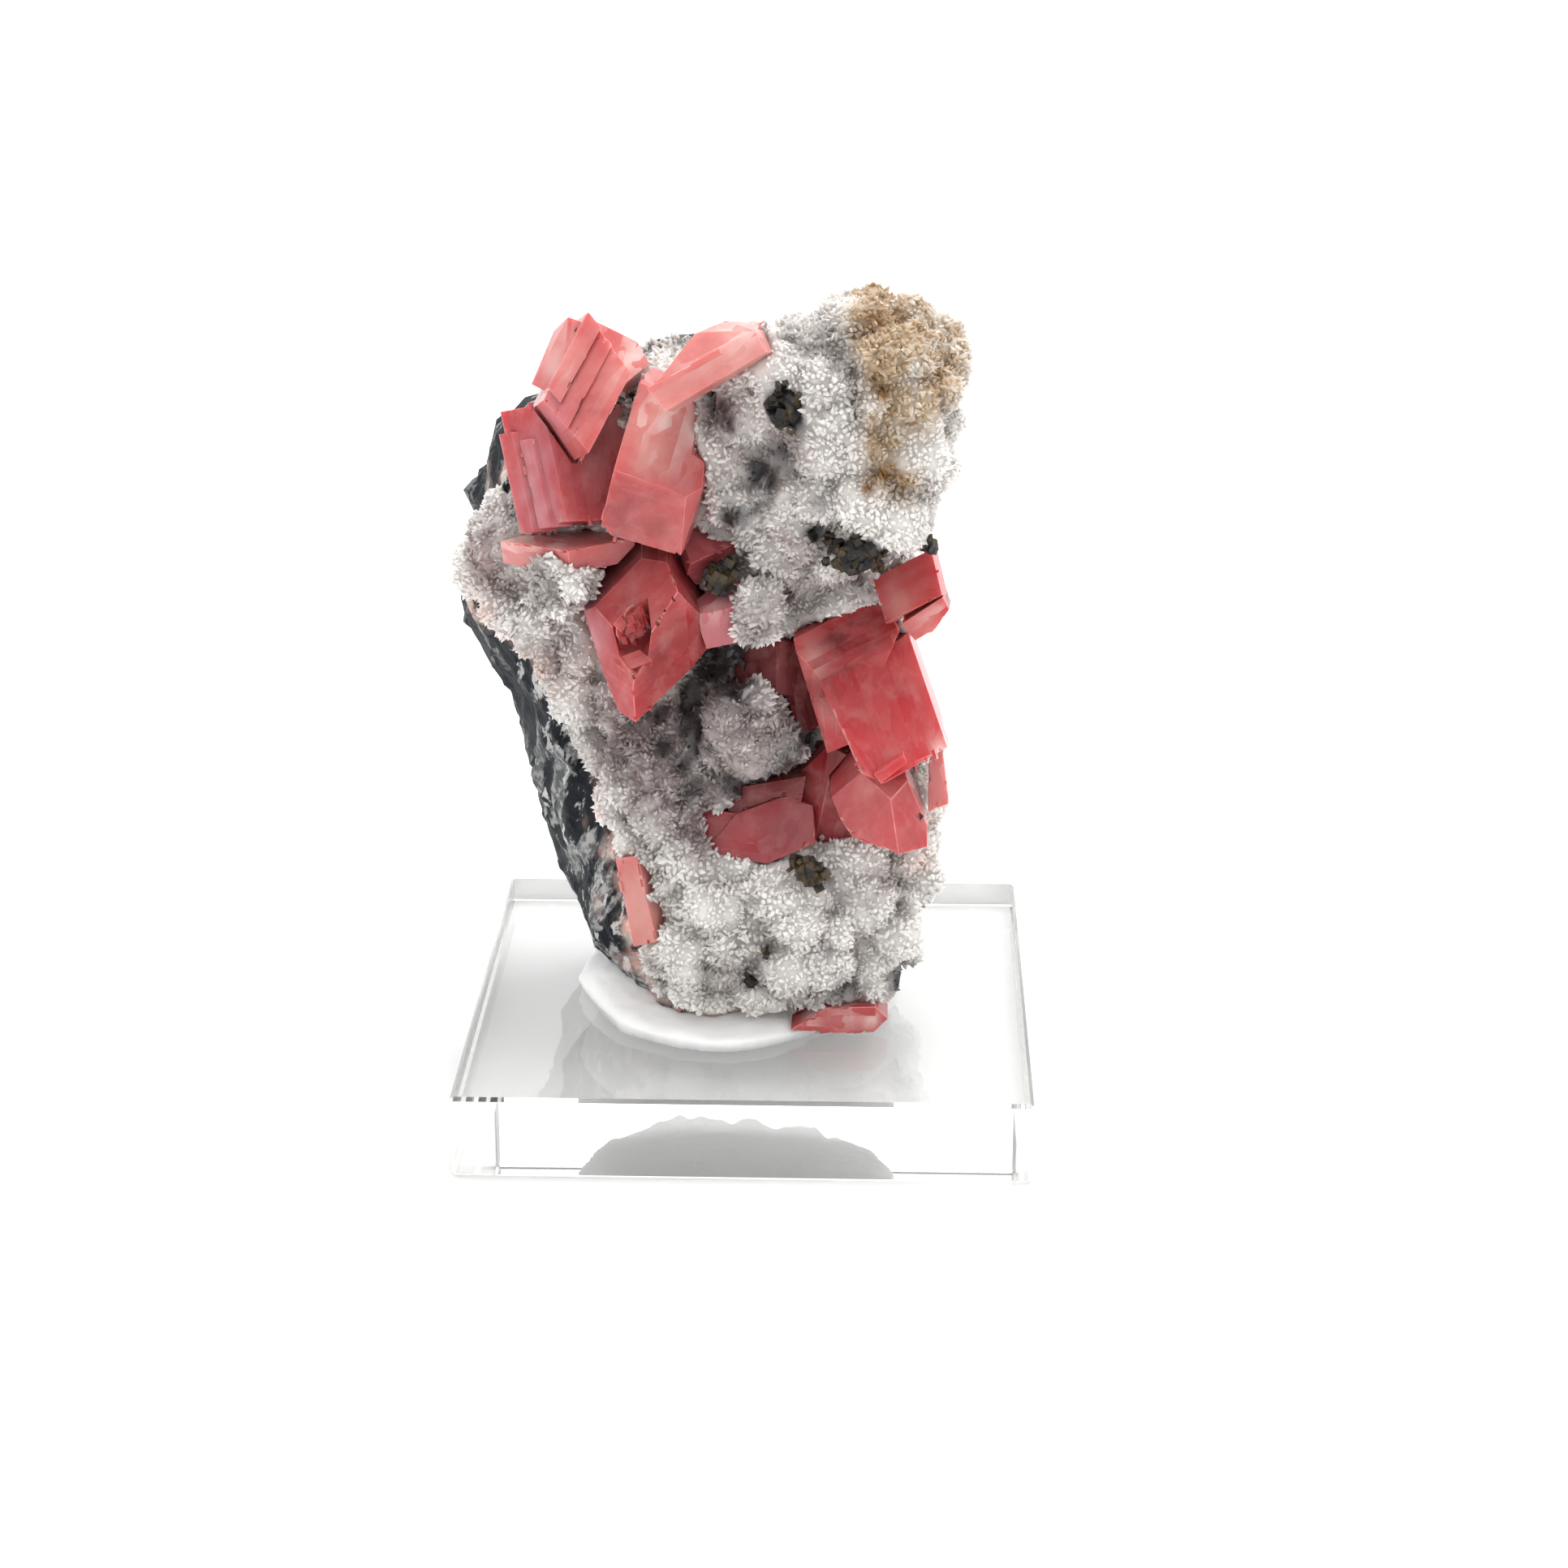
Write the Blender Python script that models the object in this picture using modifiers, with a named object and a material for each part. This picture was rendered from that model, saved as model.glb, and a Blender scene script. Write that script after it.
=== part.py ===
"""Rhodochrosite specimen: pink rhombohedral crystals on a dark matrix rock that is coated with a
druse of fine quartz, set with white putty on a clear acrylic block.

Frame: origin at the centre of the block's underside, +X along the block's front edge, +Y to the
back, +Z up.  Sizes below are millimetres, and meshes are written in metres.
"""
import itertools
import math

import bmesh
import bpy
import numpy as np
from mathutils import Matrix, Vector, noise

MM = 0.001
GAP = 0.3             # clearance between neighbouring pieces
CUBE_SHARE = 0.7      # half-size of the cube that grows a hull, against the clearance
FLAT = math.radians(0.6)   # faces closer in angle than this are one
MERGE = 0.004         # vertices closer than this are one

BLOCK_SIDE = 40.0
BLOCK_HEIGHT = 6.0
BLOCK_EDGE = 0.25     # small chamfer on the sawn edges

PAD_BOTTOM = BLOCK_HEIGHT + GAP
PAD_CENTRE = (-1.2, 1.4)
PAD_RADII = (11.5, 13.6)
PAD_CLIMB = 1.1       # how much thicker the putty is where it is pressed up against the left side
PAD_CLIMB_AT = math.radians(208)
PAD_CLIMB_REACH = 0.42
PAD_RINGS = [         # height above the block, share of the outline
    (0.00, 0.96), (0.20, 1.00), (0.45, 1.00), (0.65, 0.95), (0.80, 0.85), (0.90, 0.70), (0.95, 0.40),
]
PAD_SIDES = 48

ROCK_FOOT = 7.0
ROCK_SIDES = 28
ROCK_STEP = 2.7       # height of one row of the rock's facets
ROCK_ROUGH = 0.55     # how far the broken surface departs from its form
CHIP_SIZES = (6.0, 2.6)
LEDGE_SIZE = 8.0
LEDGE_STEPS = 3.0     # levels that a ledge can take on each side
LIFT_SIZE = 5.0
LIFT_FADE = 10.0      # the foot's first rows rise and fall less
LIFT_SHARE = 2.2      # its rise and fall against its in and out
ROCK_CORNER = 3.4     # exponent of the rounded section
ROCK_LEVELS = [       # height, left at back, left at front, right, front, back
    (7.0, -11.6, -7.6, 9.8, -7.0, 11.0),
    (12.0, -15.0, -8.2, 10.6, -7.4, 12.0),
    (18.0, -16.8, -9.4, 11.6, -5.4, 12.4),
    (24.0, -18.8, -10.8, 11.8, -3.4, 12.6),
    (30.0, -21.2, -13.6, 10.4, -2.2, 12.4),
    (36.0, -22.2, -18.2, 10.6, -1.4, 11.8),
    (42.0, -20.4, -17.6, 11.0, -1.4, 10.8),
    (47.0, -18.0, -15.6, 11.8, -2.0, 9.4),
    (50.4, -13.2, -12.0, 12.0, -2.0, 7.8),
    (52.4, -3.6, -4.6, 11.4, -1.6, 6.2),
    (54.4, 2.0, 1.4, 9.6, -0.8, 4.6),
]

HOLLOW = (2.4, 28.5)  # x and z of the recess in the rock's front
HOLLOW_REACH = (5.4, 7.5)
HOLLOW_DEPTH = 2.8

CRUST_COAT = 1.7      # thickness of the druse where it only coats the rock
CRUST_BACK = 3.6      # how far back the druse wraps over the right side and the top
CRUST_LAP = 3.0       # how far it reaches in from the rock's left edge
CRUST_ROWS = 20
CRUST_CELL = 2.25     # facet size of the druse
CUSHION_CELL = 1.4
SPIKED_ABOVE = -0.05  # facets where the noise is above this carry a spike
CRUST_SWAY = 0.75     # how far its corners stray from the even grid
SWAY_SIZE = 1.3       # sizes over which sway, tufts and spike lengths change
TUFT_SIZE = 0.7
SPIKE_SIZE = 0.9
CUSHION_ROOM = 0.85   # how much larger than a cushion its seat in the crust is
SPIKE_SHORT = 0.25
SPIKE_LONG = 0.75

# Lumps of the druse: centre x, y, z and radius.
UPPER_MASS = [
    (0.3, -5.0, 54.4, 2.5), (3.5, -4.8, 55.6, 2.2), (6.0, -5.2, 55.4, 2.7), (9.0, -5.0, 55.5, 2.7),
    (12.2, -4.4, 54.6, 2.7), (13.4, -3.6, 51.8, 2.1), (12.0, -5.6, 51.0, 2.6), (8.4, -6.4, 51.4, 2.8),
    (4.6, -5.6, 52.9, 2.4), (1.2, -5.2, 52.0, 2.2), (-2.2, -5.0, 48.4, 2.0), (-1.4, -4.6, 45.2, 2.1),
    (4.8, -6.2, 48.0, 2.7), (8.0, -6.8, 46.6, 2.8), (11.6, -5.8, 46.8, 2.6), (11.4, -5.9, 43.2, 2.3),
    (9.2, -7.0, 43.2, 2.6), (5.9, -6.6, 44.2, 2.2), (2.6, -5.2, 44.4, 2.0), (1.6, -4.0, 48.0, 1.9),
    (13.0, -1.5, 53.0, 2.6), (11.0, -0.5, 55.2, 2.4), (7.5, -1.0, 56.0, 2.2), (12.6, -1.5, 48.0, 2.4),
]
MIDDLE_LUMP = [
    (1.4, -4.6, 40.2, 2.0), (4.4, -3.8, 39.0, 2.6), (3.2, -4.2, 41.6, 2.4), (8.2, -5.6, 40.8, 1.6),
]
LEFT_EDGE = [
    (-20.0, 1.2, 38.4, 1.9), (-18.6, 0.8, 41.0, 1.9), (-17.2, 0.4, 42.8, 1.6), (-18.6, -0.2, 36.6, 2.2),
    (-16.4, -1.6, 38.8, 2.2), (-16.2, -2.0, 35.0, 2.3), (-14.4, -3.2, 32.6, 2.1), (-12.8, -4.2, 30.0, 2.0),
    (-11.5, -4.8, 27.2, 1.9), (-10.3, -5.6, 24.4, 1.9), (-20.0, 3.6, 37.0, 1.8),
]
MIDDLE_LEFT = [
    (-8.3, -5.2, 26.4, 2.2), (-4.4, -5.2, 24.9, 2.2), (-5.2, -3.8, 28.6, 2.0), (-7.4, -6.6, 22.9, 2.3),
    (-9.2, -6.6, 21.2, 1.8), (-5.8, -7.6, 20.2, 2.0), (-7.6, -7.4, 18.6, 1.9), (-1.6, -4.2, 25.6, 1.9),
]
LOWER_MASS = [
    (-4.0, -8.8, 16.2, 2.5), (0.3, -9.2, 16.4, 2.8), (4.6, -9.2, 16.4, 2.7), (8.2, -8.4, 17.6, 2.3),
    (11.0, -7.2, 17.0, 2.1), (10.2, -7.6, 13.6, 2.5), (5.1, -9.6, 12.6, 3.1), (0.6, -9.6, 12.4, 3.1),
    (-3.6, -9.0, 12.0, 2.6), (8.8, -7.8, 10.6, 2.4), (3.6, -9.2, 9.8, 2.2), (-1.8, -8.8, 9.6, 2.3),
    (-5.2, -7.8, 9.4, 1.7), (-6.8, -7.4, 9.6, 1.4),
]
RIGHT_EDGE = [
    (12.9, -4.0, 20.6, 1.5), (13.2, -3.4, 24.0, 1.3), (12.4, -4.4, 16.4, 1.7), (11.6, -5.0, 12.4, 1.7),
]

CUSHIONS = {          # druse that stands on the crystals, apart from the crust
    "quartz_cushion_left": [
        (-12.9, -6.4, 39.6, 2.2), (-12.2, -6.6, 37.8, 2.0), (-14.1, -5.9, 37.7, 1.9),
        (-11.2, -6.0, 39.5, 1.6), (-13.8, -5.6, 39.4, 1.9), (-12.4, -3.8, 38.0, 2.2)],
    "quartz_cushion_centre": [
        (0.2, -6.4, 28.0, 2.9), (1.8, -6.8, 27.3, 2.3), (-1.2, -6.8, 26.6, 2.2),
        (-0.1, -6.2, 30.0, 2.0), (0.4, -4.2, 28.0, 2.4), (0.4, -2.4, 28.0, 2.4)],
    "quartz_knob": [(0.6, -5.8, 37.2, 1.5), (0.5, -6.1, 35.4, 1.6), (1.0, -4.4, 36.0, 1.5)],
}

# Crystals: the corners of the faces turned to the viewer, the nearest one first, and the vector
# that carries them back to the hidden faces.  Each crystal is the convex body of these corners.
CRYSTALS = {
    "crest": (
        [(-10.4, -9.5, 48.7), (-7.7, -6.5, 53.4), (-11.0, -3.0, 56.7), (-13.6, -6.0, 51.4)],
        (-1.5, 5, -1.9)),
    "crest_left": (
        [(-12.3, -2.0, 56.2), (-10.7, -2.2, 55.7), (-12.6, -5.4, 51.3), (-14.8, -3.2, 51.8),
         (-13.4, -1.0, 55.0)],
        (0.8, 4, -1.5)),
    "crest_right": (
        [(-10.5, -1.4, 55.8), (-7.7, -1.0, 54.3), (-6.8, -2.0, 53.0), (-8.1, -5.2, 52.5),
         (-10.7, -2.6, 54.1)],
        (-0.4, 3, -1.5)),
    "left_block": (
        [(-12.2, -6.8, 43.2), (-6.9, -5.8, 43.2), (-8.7, -2.0, 50.1), (-14.1, -3.4, 50.4)],
        (-2.9, 2, -1)),
    "upper_slab": (
        [(-8.7, -9.5, 47.5), (-4.2, -7.8, 45.4), (-4.3, -5.8, 47.9), (-3.4, -3.2, 50.3),
         (-7.3, -4.5, 52.2), (-9.6, -8.9, 43.9), (-9.1, -8.5, 42.8), (-4.9, -7.1, 41.1)],
        (0.6, 3, 0.4)),
    "slab_end": (
        [(-4.7, -6.3, 47.7), (-4.1, -5.7, 47.8), (-3.0, -5.6, 47.0), (-3.1, -6.8, 45.6),
         (-4.1, -7.9, 45.2), (-4.5, -7.0, 41.0), (-5.3, -7.2, 41.4), (-4.9, -8.1, 45.7)],
        (0.4, 2.6, 0.2)),
    "bar": (
        [(-5.2, -10.0, 51.7), (1.4, -8.5, 55.4), (0.6, -7.8, 56.8), (-6.5, -9.0, 53.0)],
        (0.5, 2.2, -0.6)),
    "bar_top": (
        [(-5.9, -8.0, 53.2), (-4.4, -7.2, 54.2), (-3.5, -5.0, 55.8), (-1.5, -4.2, 56.5),
         (0.9, -5.0, 56.6), (0.7, -6.8, 56.4)],
        (0.3, 2.2, -2.5)),
    "shelf": (
        [(-12.1, -8.0, 41.4), (-17.1, -4.0, 40.8), (-12.8, 0.0, 41.0), (-7.9, -5.0, 41.4)],
        (0.1, 0.5, -1.6)),
    "middle": (
        [(-7.8, -11.0, 33.2), (-7.6, -9.0, 29.5), (-3.0, -6.4, 33.7), (-4.4, -6.2, 38.5),
         (-6.8, -4.6, 41.2), (-10.9, -4.4, 39.5), (-12.2, -6.2, 35.4), (-9.1, -8.2, 29.8)],
        (0.5, 4.5, 0.5)),
    "behind": (
        [(-3.9, -5.4, 39.8), (-0.4, -3.5, 41.0), (-2.5, -1.4, 42.1), (-4.8, -2.8, 41.7),
         (-4.5, -4.6, 37.7), (-1.0, -2.8, 39.2)],
        (0.2, 2.5, 0)),
    "small": (
        [(-3.3, -6.5, 36.5), (-0.9, -6.2, 36.9), (-0.7, -6.0, 34.4), (-2.9, -6.3, 34.0),
         (-4.2, -5.6, 35.2), (-3.6, -5.0, 36.9), (-2.5, -4.0, 37.6), (-0.8, -3.8, 38.1)],
        (0.3, 2, -0.3)),
    "right": (
        [(8.0, -10.5, 26.5), (5.1, -6.5, 31.6), (6.7, -5.4, 32.2), (11.1, -2.6, 33.9),
         (13.8, -7.9, 27.5), (9.5, -10.7, 25.9)],
        (0.2, 4.5, -0.6)),
    "right_bar": (
        [(7.9, -10.9, 27.1), (11.0, -9.7, 29.2), (11.3, -9.9, 28.8), (8.3, -11.1, 26.7)],
        (0, 0.8, 0)),
    "right_rung": (
        [(8.9, -11.1, 26.6), (10.8, -10.3, 27.7), (11.0, -10.5, 27.3), (9.3, -11.2, 26.1)],
        (0, 0.8, 0)),
    "right_behind": (
        [(5.6, -7.5, 26.9), (7.4, -7.9, 27.8), (5.1, -6.0, 31.7), (3.4, -4.8, 33.3),
         (3.2, -4.2, 34.0), (9.2, -1.6, 36.5), (10.4, -3.2, 34.3)],
        (0, 4, 0.2)),
    "right_top": (
        [(13.3, -6.5, 38.1), (9.6, -5.8, 35.8), (8.7, -3.4, 38.2), (12.6, -4.0, 40.5)],
        (0.4, 2, -0.6)),
    "right_frill": (
        [(10.7, -6.0, 35.8), (13.3, -6.4, 37.8), (13.8, -6.0, 36.9), (12.9, -5.6, 35.4),
         (11.6, -5.4, 34.5)],
        (0.2, 1.6, 0.1)),
    "right_low": (
        [(6.0, -8.5, 23.9), (7.3, -8.8, 25.4), (8.0, -9.2, 26.0), (11.1, -8.6, 25.2),
         (12.5, -8.8, 22.0), (12.5, -9.4, 20.7), (10.6, -10.3, 20.5), (7.4, -9.9, 21.6),
         (6.6, -9.4, 22.7), (10.0, -10.4, 24.5)],
        (-0.3, 3.5, 0.6)),
    "right_dark": (
        [(4.7, -7.0, 19.4), (4.4, -5.6, 22.6), (3.7, -4.8, 24.2), (5.7, -5.4, 26.4),
         (8.0, -6.2, 25.6), (8.3, -7.4, 20.6)],
        (0, 3, 0)),
    "edge_bit": (
        [(14.0, -6.5, 22.8), (13.6, -5.5, 26.1), (12.7, -5.8, 25.4), (12.7, -6.8, 22.3)],
        (0.2, 2.5, 0)),
    "recess": (
        [(2.0, -3.4, 33.6), (-1.2, -1.4, 32.3), (-1.2, -2.4, 29.2), (1.9, -4.4, 30.2),
         (3.9, -2.4, 32.8), (3.9, -3.4, 29.6)],
        (0, 3, 0)),
    "recess_low": (
        [(3.6, -4.8, 27.2), (2.0, -3.0, 32.0), (3.5, -2.2, 33.8), (5.4, -4.0, 28.1)],
        (0, 3, 0)),
    "blade": (
        [(1.4, -9.3, 19.3), (-2.9, -7.7, 19.3), (-0.8, -6.6, 21.8), (2.5, -6.2, 23.0),
         (4.5, -6.6, 22.5), (4.7, -8.2, 20.4)],
        (0.3, 4, -1)),
    "blade_left": (
        [(-3.8, -6.2, 20.9), (-3.1, -5.7, 21.7), (-0.8, -6.2, 21.7), (-2.8, -7.5, 19.3)],
        (0.3, 3, -0.5)),
    "dark_strip": (
        [(3.6, -6.5, 23.0), (-1.3, -5.5, 21.6), (-1.0, -5.0, 23.0), (3.9, -6.0, 24.4)],
        (0, 3, 0)),
    "low_slab": (
        [(-6.4, -9.5, 13.3), (-7.7, -8.7, 19.4), (-9.2, -7.9, 18.8), (-8.0, -8.7, 12.6)],
        (0.9, 1.8, -0.2)),
    "foot": (
        [(3.1, -10.2, 6.9), (5.6, -10.1, 8.6), (9.1, -9.6, 8.5), (10.0, -9.2, 7.4), (9.0, -10.0, 6.7),
         (6.3, -10.3, 6.7)],
        (0, 2.6, 0)),
}
# A step is a block in units of three edges: from the first corner to the second, from the first
# to the last, and the vector to the back.  It is given by its low and high corner.
STEPS = {
    "crest": [((-0.03, 0.48, -0.06), (1.03, 1.03, 0.3)), ((0.1, 0.78, -0.12), (1.06, 1.06, 0.3))],
    "left_block": [((-0.07, -0.03, 0.30), (0.2, 0.72, 0.58)), ((-0.08, -0.05, 0.72), (0.2, 0.80, 1.05))],
}
PITS = {
    "middle": [[(-9.4, -8.6, 35.9), (-8.8, -7.4, 37.4), (-6.9, -8.2, 37.4), (-6.5, -10.2, 35.5),
                (-7.7, -11.4, 34.1)]],
}
PIT_DEPTH = (0.3, 2.2, 0.5)

CLUSTERS = {          # crystals grown together, each cluster one solid
    "rhodochrosite_crest": ["crest", "crest_left", "crest_right"],
    "rhodochrosite_left_block": ["left_block"],
    "rhodochrosite_upper_slab": ["upper_slab", "slab_end"],
    "rhodochrosite_bar": ["bar", "bar_top"],
    "rhodochrosite_middle_cluster": ["middle"],
    "rhodochrosite_back_crystal": ["behind"],
    "rhodochrosite_small_crystal": ["small"],
    "rhodochrosite_right_cluster": ["right", "right_behind", "right_bar", "right_rung"],
    "rhodochrosite_right_top": ["right_top", "right_frill"],
    "rhodochrosite_right_low": ["right_low"],
    "rhodochrosite_right_inner": ["right_dark"],
    "rhodochrosite_right_edge": ["edge_bit"],
    "rhodochrosite_shelf": ["shelf"],
    "rhodochrosite_recess": ["recess", "recess_low"],
    "rhodochrosite_blade": ["blade", "blade_left"],
    "rhodochrosite_blade_back": ["dark_strip"],
    "rhodochrosite_low_slab": ["low_slab"],
    "rhodochrosite_foot": ["foot"],
}

ORE_GRAINS = {        # centre and radius
    "ore_grain_top": ((2.5, -7.0, 51.2), 1.5),
    "ore_grain_overhang": ((7.4, -8.6, 41.4), 1.7),
    "ore_grain_edge": ((12.4, -6.6, 41.6), 0.8),
    "ore_grain_centre": ((-2.0, -5.4, 38.6), 1.4),
    "ore_grain_low": ((4.4, -11.2, 19.4), 1.2),
}

COLOURS = {           # base colour, roughness, metallic
    "acrylic": ((0.90, 0.93, 0.93), 0.08, 0.0),
    "putty": ((0.92, 0.92, 0.90), 0.60, 0.0),
    "matrix": ((0.12, 0.13, 0.14), 0.75, 0.0),
    "quartz": ((0.72, 0.71, 0.70), 0.35, 0.0),
    "rhodochrosite": ((0.74, 0.20, 0.20), 0.25, 0.0),
    "ore": ((0.07, 0.045, 0.03), 0.25, 0.0),
}


# ---------------------------------------------------------------- scene and mesh helpers

def clear_scene():
    for obj in list(bpy.data.objects):
        bpy.data.objects.remove(obj)


def collection(name):
    group = bpy.data.collections.new(name)
    bpy.context.scene.collection.children.link(group)
    return group


def material(name):
    colour, roughness, metallic = COLOURS[name]
    mat = bpy.data.materials.new(name)
    mat.use_nodes = True
    shader = mat.node_tree.nodes["Principled BSDF"]
    shader.inputs["Base Color"].default_value = (*colour, 1.0)
    shader.inputs["Roughness"].default_value = roughness
    shader.inputs["Metallic"].default_value = metallic
    mat.diffuse_color = (*colour, 1.0)
    return mat


def add_object(name, bm, group, mat=None):
    """Turn a bmesh in millimetres into an object in metres."""
    bm.transform(Matrix.Scale(MM, 4))
    mesh = bpy.data.meshes.new(name)
    bm.to_mesh(mesh)
    bm.free()
    obj = bpy.data.objects.new(name, mesh)
    group.objects.link(obj)
    if mat:
        mesh.materials.append(mat)
    else:
        obj.hide_render = True
        obj.display_type = "WIRE"
    return obj


def apply_modifiers(obj):
    """Keep the evaluated mesh of an object and drop its modifiers."""
    materials = list(obj.data.materials)
    depsgraph = bpy.context.evaluated_depsgraph_get()
    mesh = bpy.data.meshes.new_from_object(obj.evaluated_get(depsgraph))
    obj.modifiers.clear()
    obj.data = mesh
    mesh.materials.clear()
    for mat in materials:
        mesh.materials.append(mat)


def combine(obj, cutters, operation):
    """Cut or join an object with cutters, one after another, and remove the cutters."""
    for cutter in cutters:
        step = obj.modifiers.new(cutter.name, "BOOLEAN")
        step.operation = operation
        step.solver = "EXACT"
        step.object = cutter
        apply_modifiers(obj)
        bpy.data.objects.remove(cutter)


def islands(bm):
    """Return the connected groups of faces."""
    left = set(bm.faces)
    groups = []
    while left:
        stack = [left.pop()]
        group = set(stack)
        while stack:
            face = stack.pop()
            near = {other for edge in face.edges for other in edge.link_faces} & left
            left -= near
            group |= near
            stack.extend(near)
        groups.append(group)
    return groups


def tidy(obj):
    """Merge stray vertices, keep the largest body and triangulate it."""
    bm = bmesh.new()
    bm.from_mesh(obj.data)
    bmesh.ops.remove_doubles(bm, verts=bm.verts, dist=MERGE * MM)
    bmesh.ops.dissolve_degenerate(bm, edges=bm.edges, dist=MERGE * MM)
    groups = sorted(islands(bm), key=len)
    for group in groups[:-1]:
        bmesh.ops.delete(bm, geom=list(group), context="FACES")
    bmesh.ops.dissolve_limit(bm, angle_limit=FLAT, verts=bm.verts, edges=bm.edges)
    bmesh.ops.triangulate(bm, faces=bm.faces)
    bm.to_mesh(obj.data)
    bm.free()


def ripple(point, scale, seed):
    """Smooth noise from -1 to 1 at a point in millimetres."""
    return noise.noise(Vector(point) / scale + Vector((seed, 2.0 * seed, 3.0 * seed)))


def loft(rings):
    """Close a stack of equal rings of points into one body, bottom ring first."""
    bm = bmesh.new()
    rows = [[bm.verts.new(point) for point in ring] for ring in rings]
    sides = len(rows[0])
    for low, high in zip(rows, rows[1:]):
        for i in range(sides):
            j = (i + 1) % sides
            bm.faces.new((low[i], low[j], high[j], high[i]))
    bm.faces.new(rows[0][::-1])
    bm.faces.new(rows[-1])
    bm.normal_update()
    return bm


# ---------------------------------------------------------------- block and putty

def make_block(group, mat):
    bm = bmesh.new()
    bmesh.ops.create_cube(bm, size=1.0)
    bmesh.ops.scale(bm, vec=(BLOCK_SIDE, BLOCK_SIDE, BLOCK_HEIGHT), verts=bm.verts)
    bmesh.ops.translate(bm, vec=(0.0, 0.0, BLOCK_HEIGHT / 2), verts=bm.verts)
    block = add_object("acrylic_block", bm, group, mat)
    edge = block.modifiers.new("edge", "BEVEL")
    edge.width = BLOCK_EDGE * MM
    edge.segments = 1
    return block


def pad_outline(angle):
    """Distance of the pad's rim from its centre: an ellipse pressed out in soft lobes."""
    lobes = 0.035 * math.cos(3 * angle + 0.6) + 0.022 * math.cos(5 * angle + 2.1)
    lobes += 0.012 * math.cos(9 * angle + 1.0)
    a, b = PAD_RADII
    ellipse = a * b / math.hypot(b * math.cos(angle), a * math.sin(angle))
    return ellipse * (1.0 + lobes)


def pad_mesh(grow=0.0):
    """The flattened pad of putty, or the same form grown outwards."""
    rings = []
    for height, share in PAD_RINGS:
        ring = []
        for i in range(PAD_SIDES):
            angle = 2 * math.pi * i / PAD_SIDES
            reach = pad_outline(angle) * share + grow
            x = PAD_CENTRE[0] + reach * math.cos(angle)
            y = PAD_CENTRE[1] + reach * math.sin(angle)
            away = (angle - PAD_CLIMB_AT) / PAD_CLIMB_REACH
            swell = 1.0 + 0.35 * ripple((x, y, 0.0), 5.0, 4.0) + PAD_CLIMB * math.exp(-away * away)
            ring.append((x, y, PAD_BOTTOM + height * swell + (grow if height else -grow)))
        rings.append(ring)
    return loft(rings)


# ---------------------------------------------------------------- matrix rock

def section_at(height):
    """Interpolate the rock's section at a height: left back, left front, right, front, back."""
    levels = np.array(ROCK_LEVELS)
    return [float(np.interp(height, levels[:, 0], levels[:, k])) for k in range(1, 6)]


def section_ring(height, section, sides):
    """Rounded four-sided outline at a height, its left side leaning and its front hollowed."""
    left_back, left_front, right, front, back = section
    ring = []
    for i in range(sides):
        angle = 2 * math.pi * i / sides
        c, s = math.cos(angle), math.sin(angle)
        u = math.copysign(abs(c) ** (2 / ROCK_CORNER), c)
        v = math.copysign(abs(s) ** (2 / ROCK_CORNER), s)
        y = front + (back - front) * (v + 1) / 2
        left = left_front + (left_back - left_front) * (v + 1) / 2
        x = left + (right - left) * (u + 1) / 2
        across = (x - HOLLOW[0]) / HOLLOW_REACH[0]
        along = (height - HOLLOW[1]) / HOLLOW_REACH[1]
        y += HOLLOW_DEPTH * math.exp(-across ** 2 - along ** 2) * (1 - v) / 2
        ring.append((x, y, height))
    return ring


def roughened(ring, amount):
    """Push the points of a ring in and out, in coarse chips and finer ones."""
    centre = sum((Vector(p) for p in ring), Vector()) / len(ring)
    rough = []
    for point in ring:
        out = (Vector(point) - centre).normalized()
        chips = ripple(point, CHIP_SIZES[0], 1.0) + 0.7 * ripple(point, CHIP_SIZES[1], 7.0)
        ledge = round(LEDGE_STEPS * ripple(point, LEDGE_SIZE, 12.0)) / LEDGE_STEPS
        fade = min(1.0, (point[2] - ROCK_FOOT) / LIFT_FADE)
        lift = LIFT_SHARE * ripple(point, LIFT_SIZE, 3.0) * fade
        rough.append(Vector(point) + (out * (chips + ledge) + Vector((0.0, 0.0, lift))) * 2.0 * amount)
    return rough


def rock_mesh(grow=0.0):
    """The matrix rock, or the same form grown outwards for cutting its neighbours."""
    top = ROCK_LEVELS[-1][0]
    heights = np.linspace(ROCK_FOOT, top, round((top - ROCK_FOOT) / ROCK_STEP) + 1)
    rings = []
    for height in heights:
        ring = section_ring(float(height), section_at(height), ROCK_SIDES)
        rings.append(roughened(ring, ROCK_ROUGH))
    bm = loft(rings)
    bmesh.ops.triangulate(bm, faces=bm.faces)
    bm.normal_update()
    if grow:
        shifts = [vert.normal * grow for vert in bm.verts]
        for vert, shift in zip(bm.verts, shifts):
            vert.co += shift
    return bm


# ---------------------------------------------------------------- crystals

def hull_mesh(points, grow=0.0):
    """The convex body of some points, each first widened to a small cube if it has to grow."""
    bm = bmesh.new()
    side = grow * CUBE_SHARE
    signs = list(itertools.product((-side, side), repeat=3)) if grow else [(0.0, 0.0, 0.0)]
    for point in points:
        for sign in signs:
            bm.verts.new(point + Vector(sign))
    bmesh.ops.convex_hull(bm, input=bm.verts)
    bmesh.ops.delete(bm, geom=[v for v in bm.verts if not v.link_faces], context="VERTS")
    bmesh.ops.recalc_face_normals(bm, faces=bm.faces)
    return bm


def crystal_blocks(name, grow=0.0):
    """The crystal's body and its steps."""
    corners, back = CRYSTALS[name]
    corners = [Vector(corner) for corner in corners]
    back = Vector(back)
    blocks = [hull_mesh(corners + [corner + back for corner in corners], grow)]
    edges = (corners[1] - corners[0], corners[-1] - corners[0], back)
    for low, high in STEPS.get(name, []):
        points = []
        for share in itertools.product(*zip(low, high)):
            points.append(corners[0] + sum((edges[k] * share[k] for k in range(3)), Vector()))
        blocks.append(hull_mesh(points, grow))
    return blocks


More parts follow.
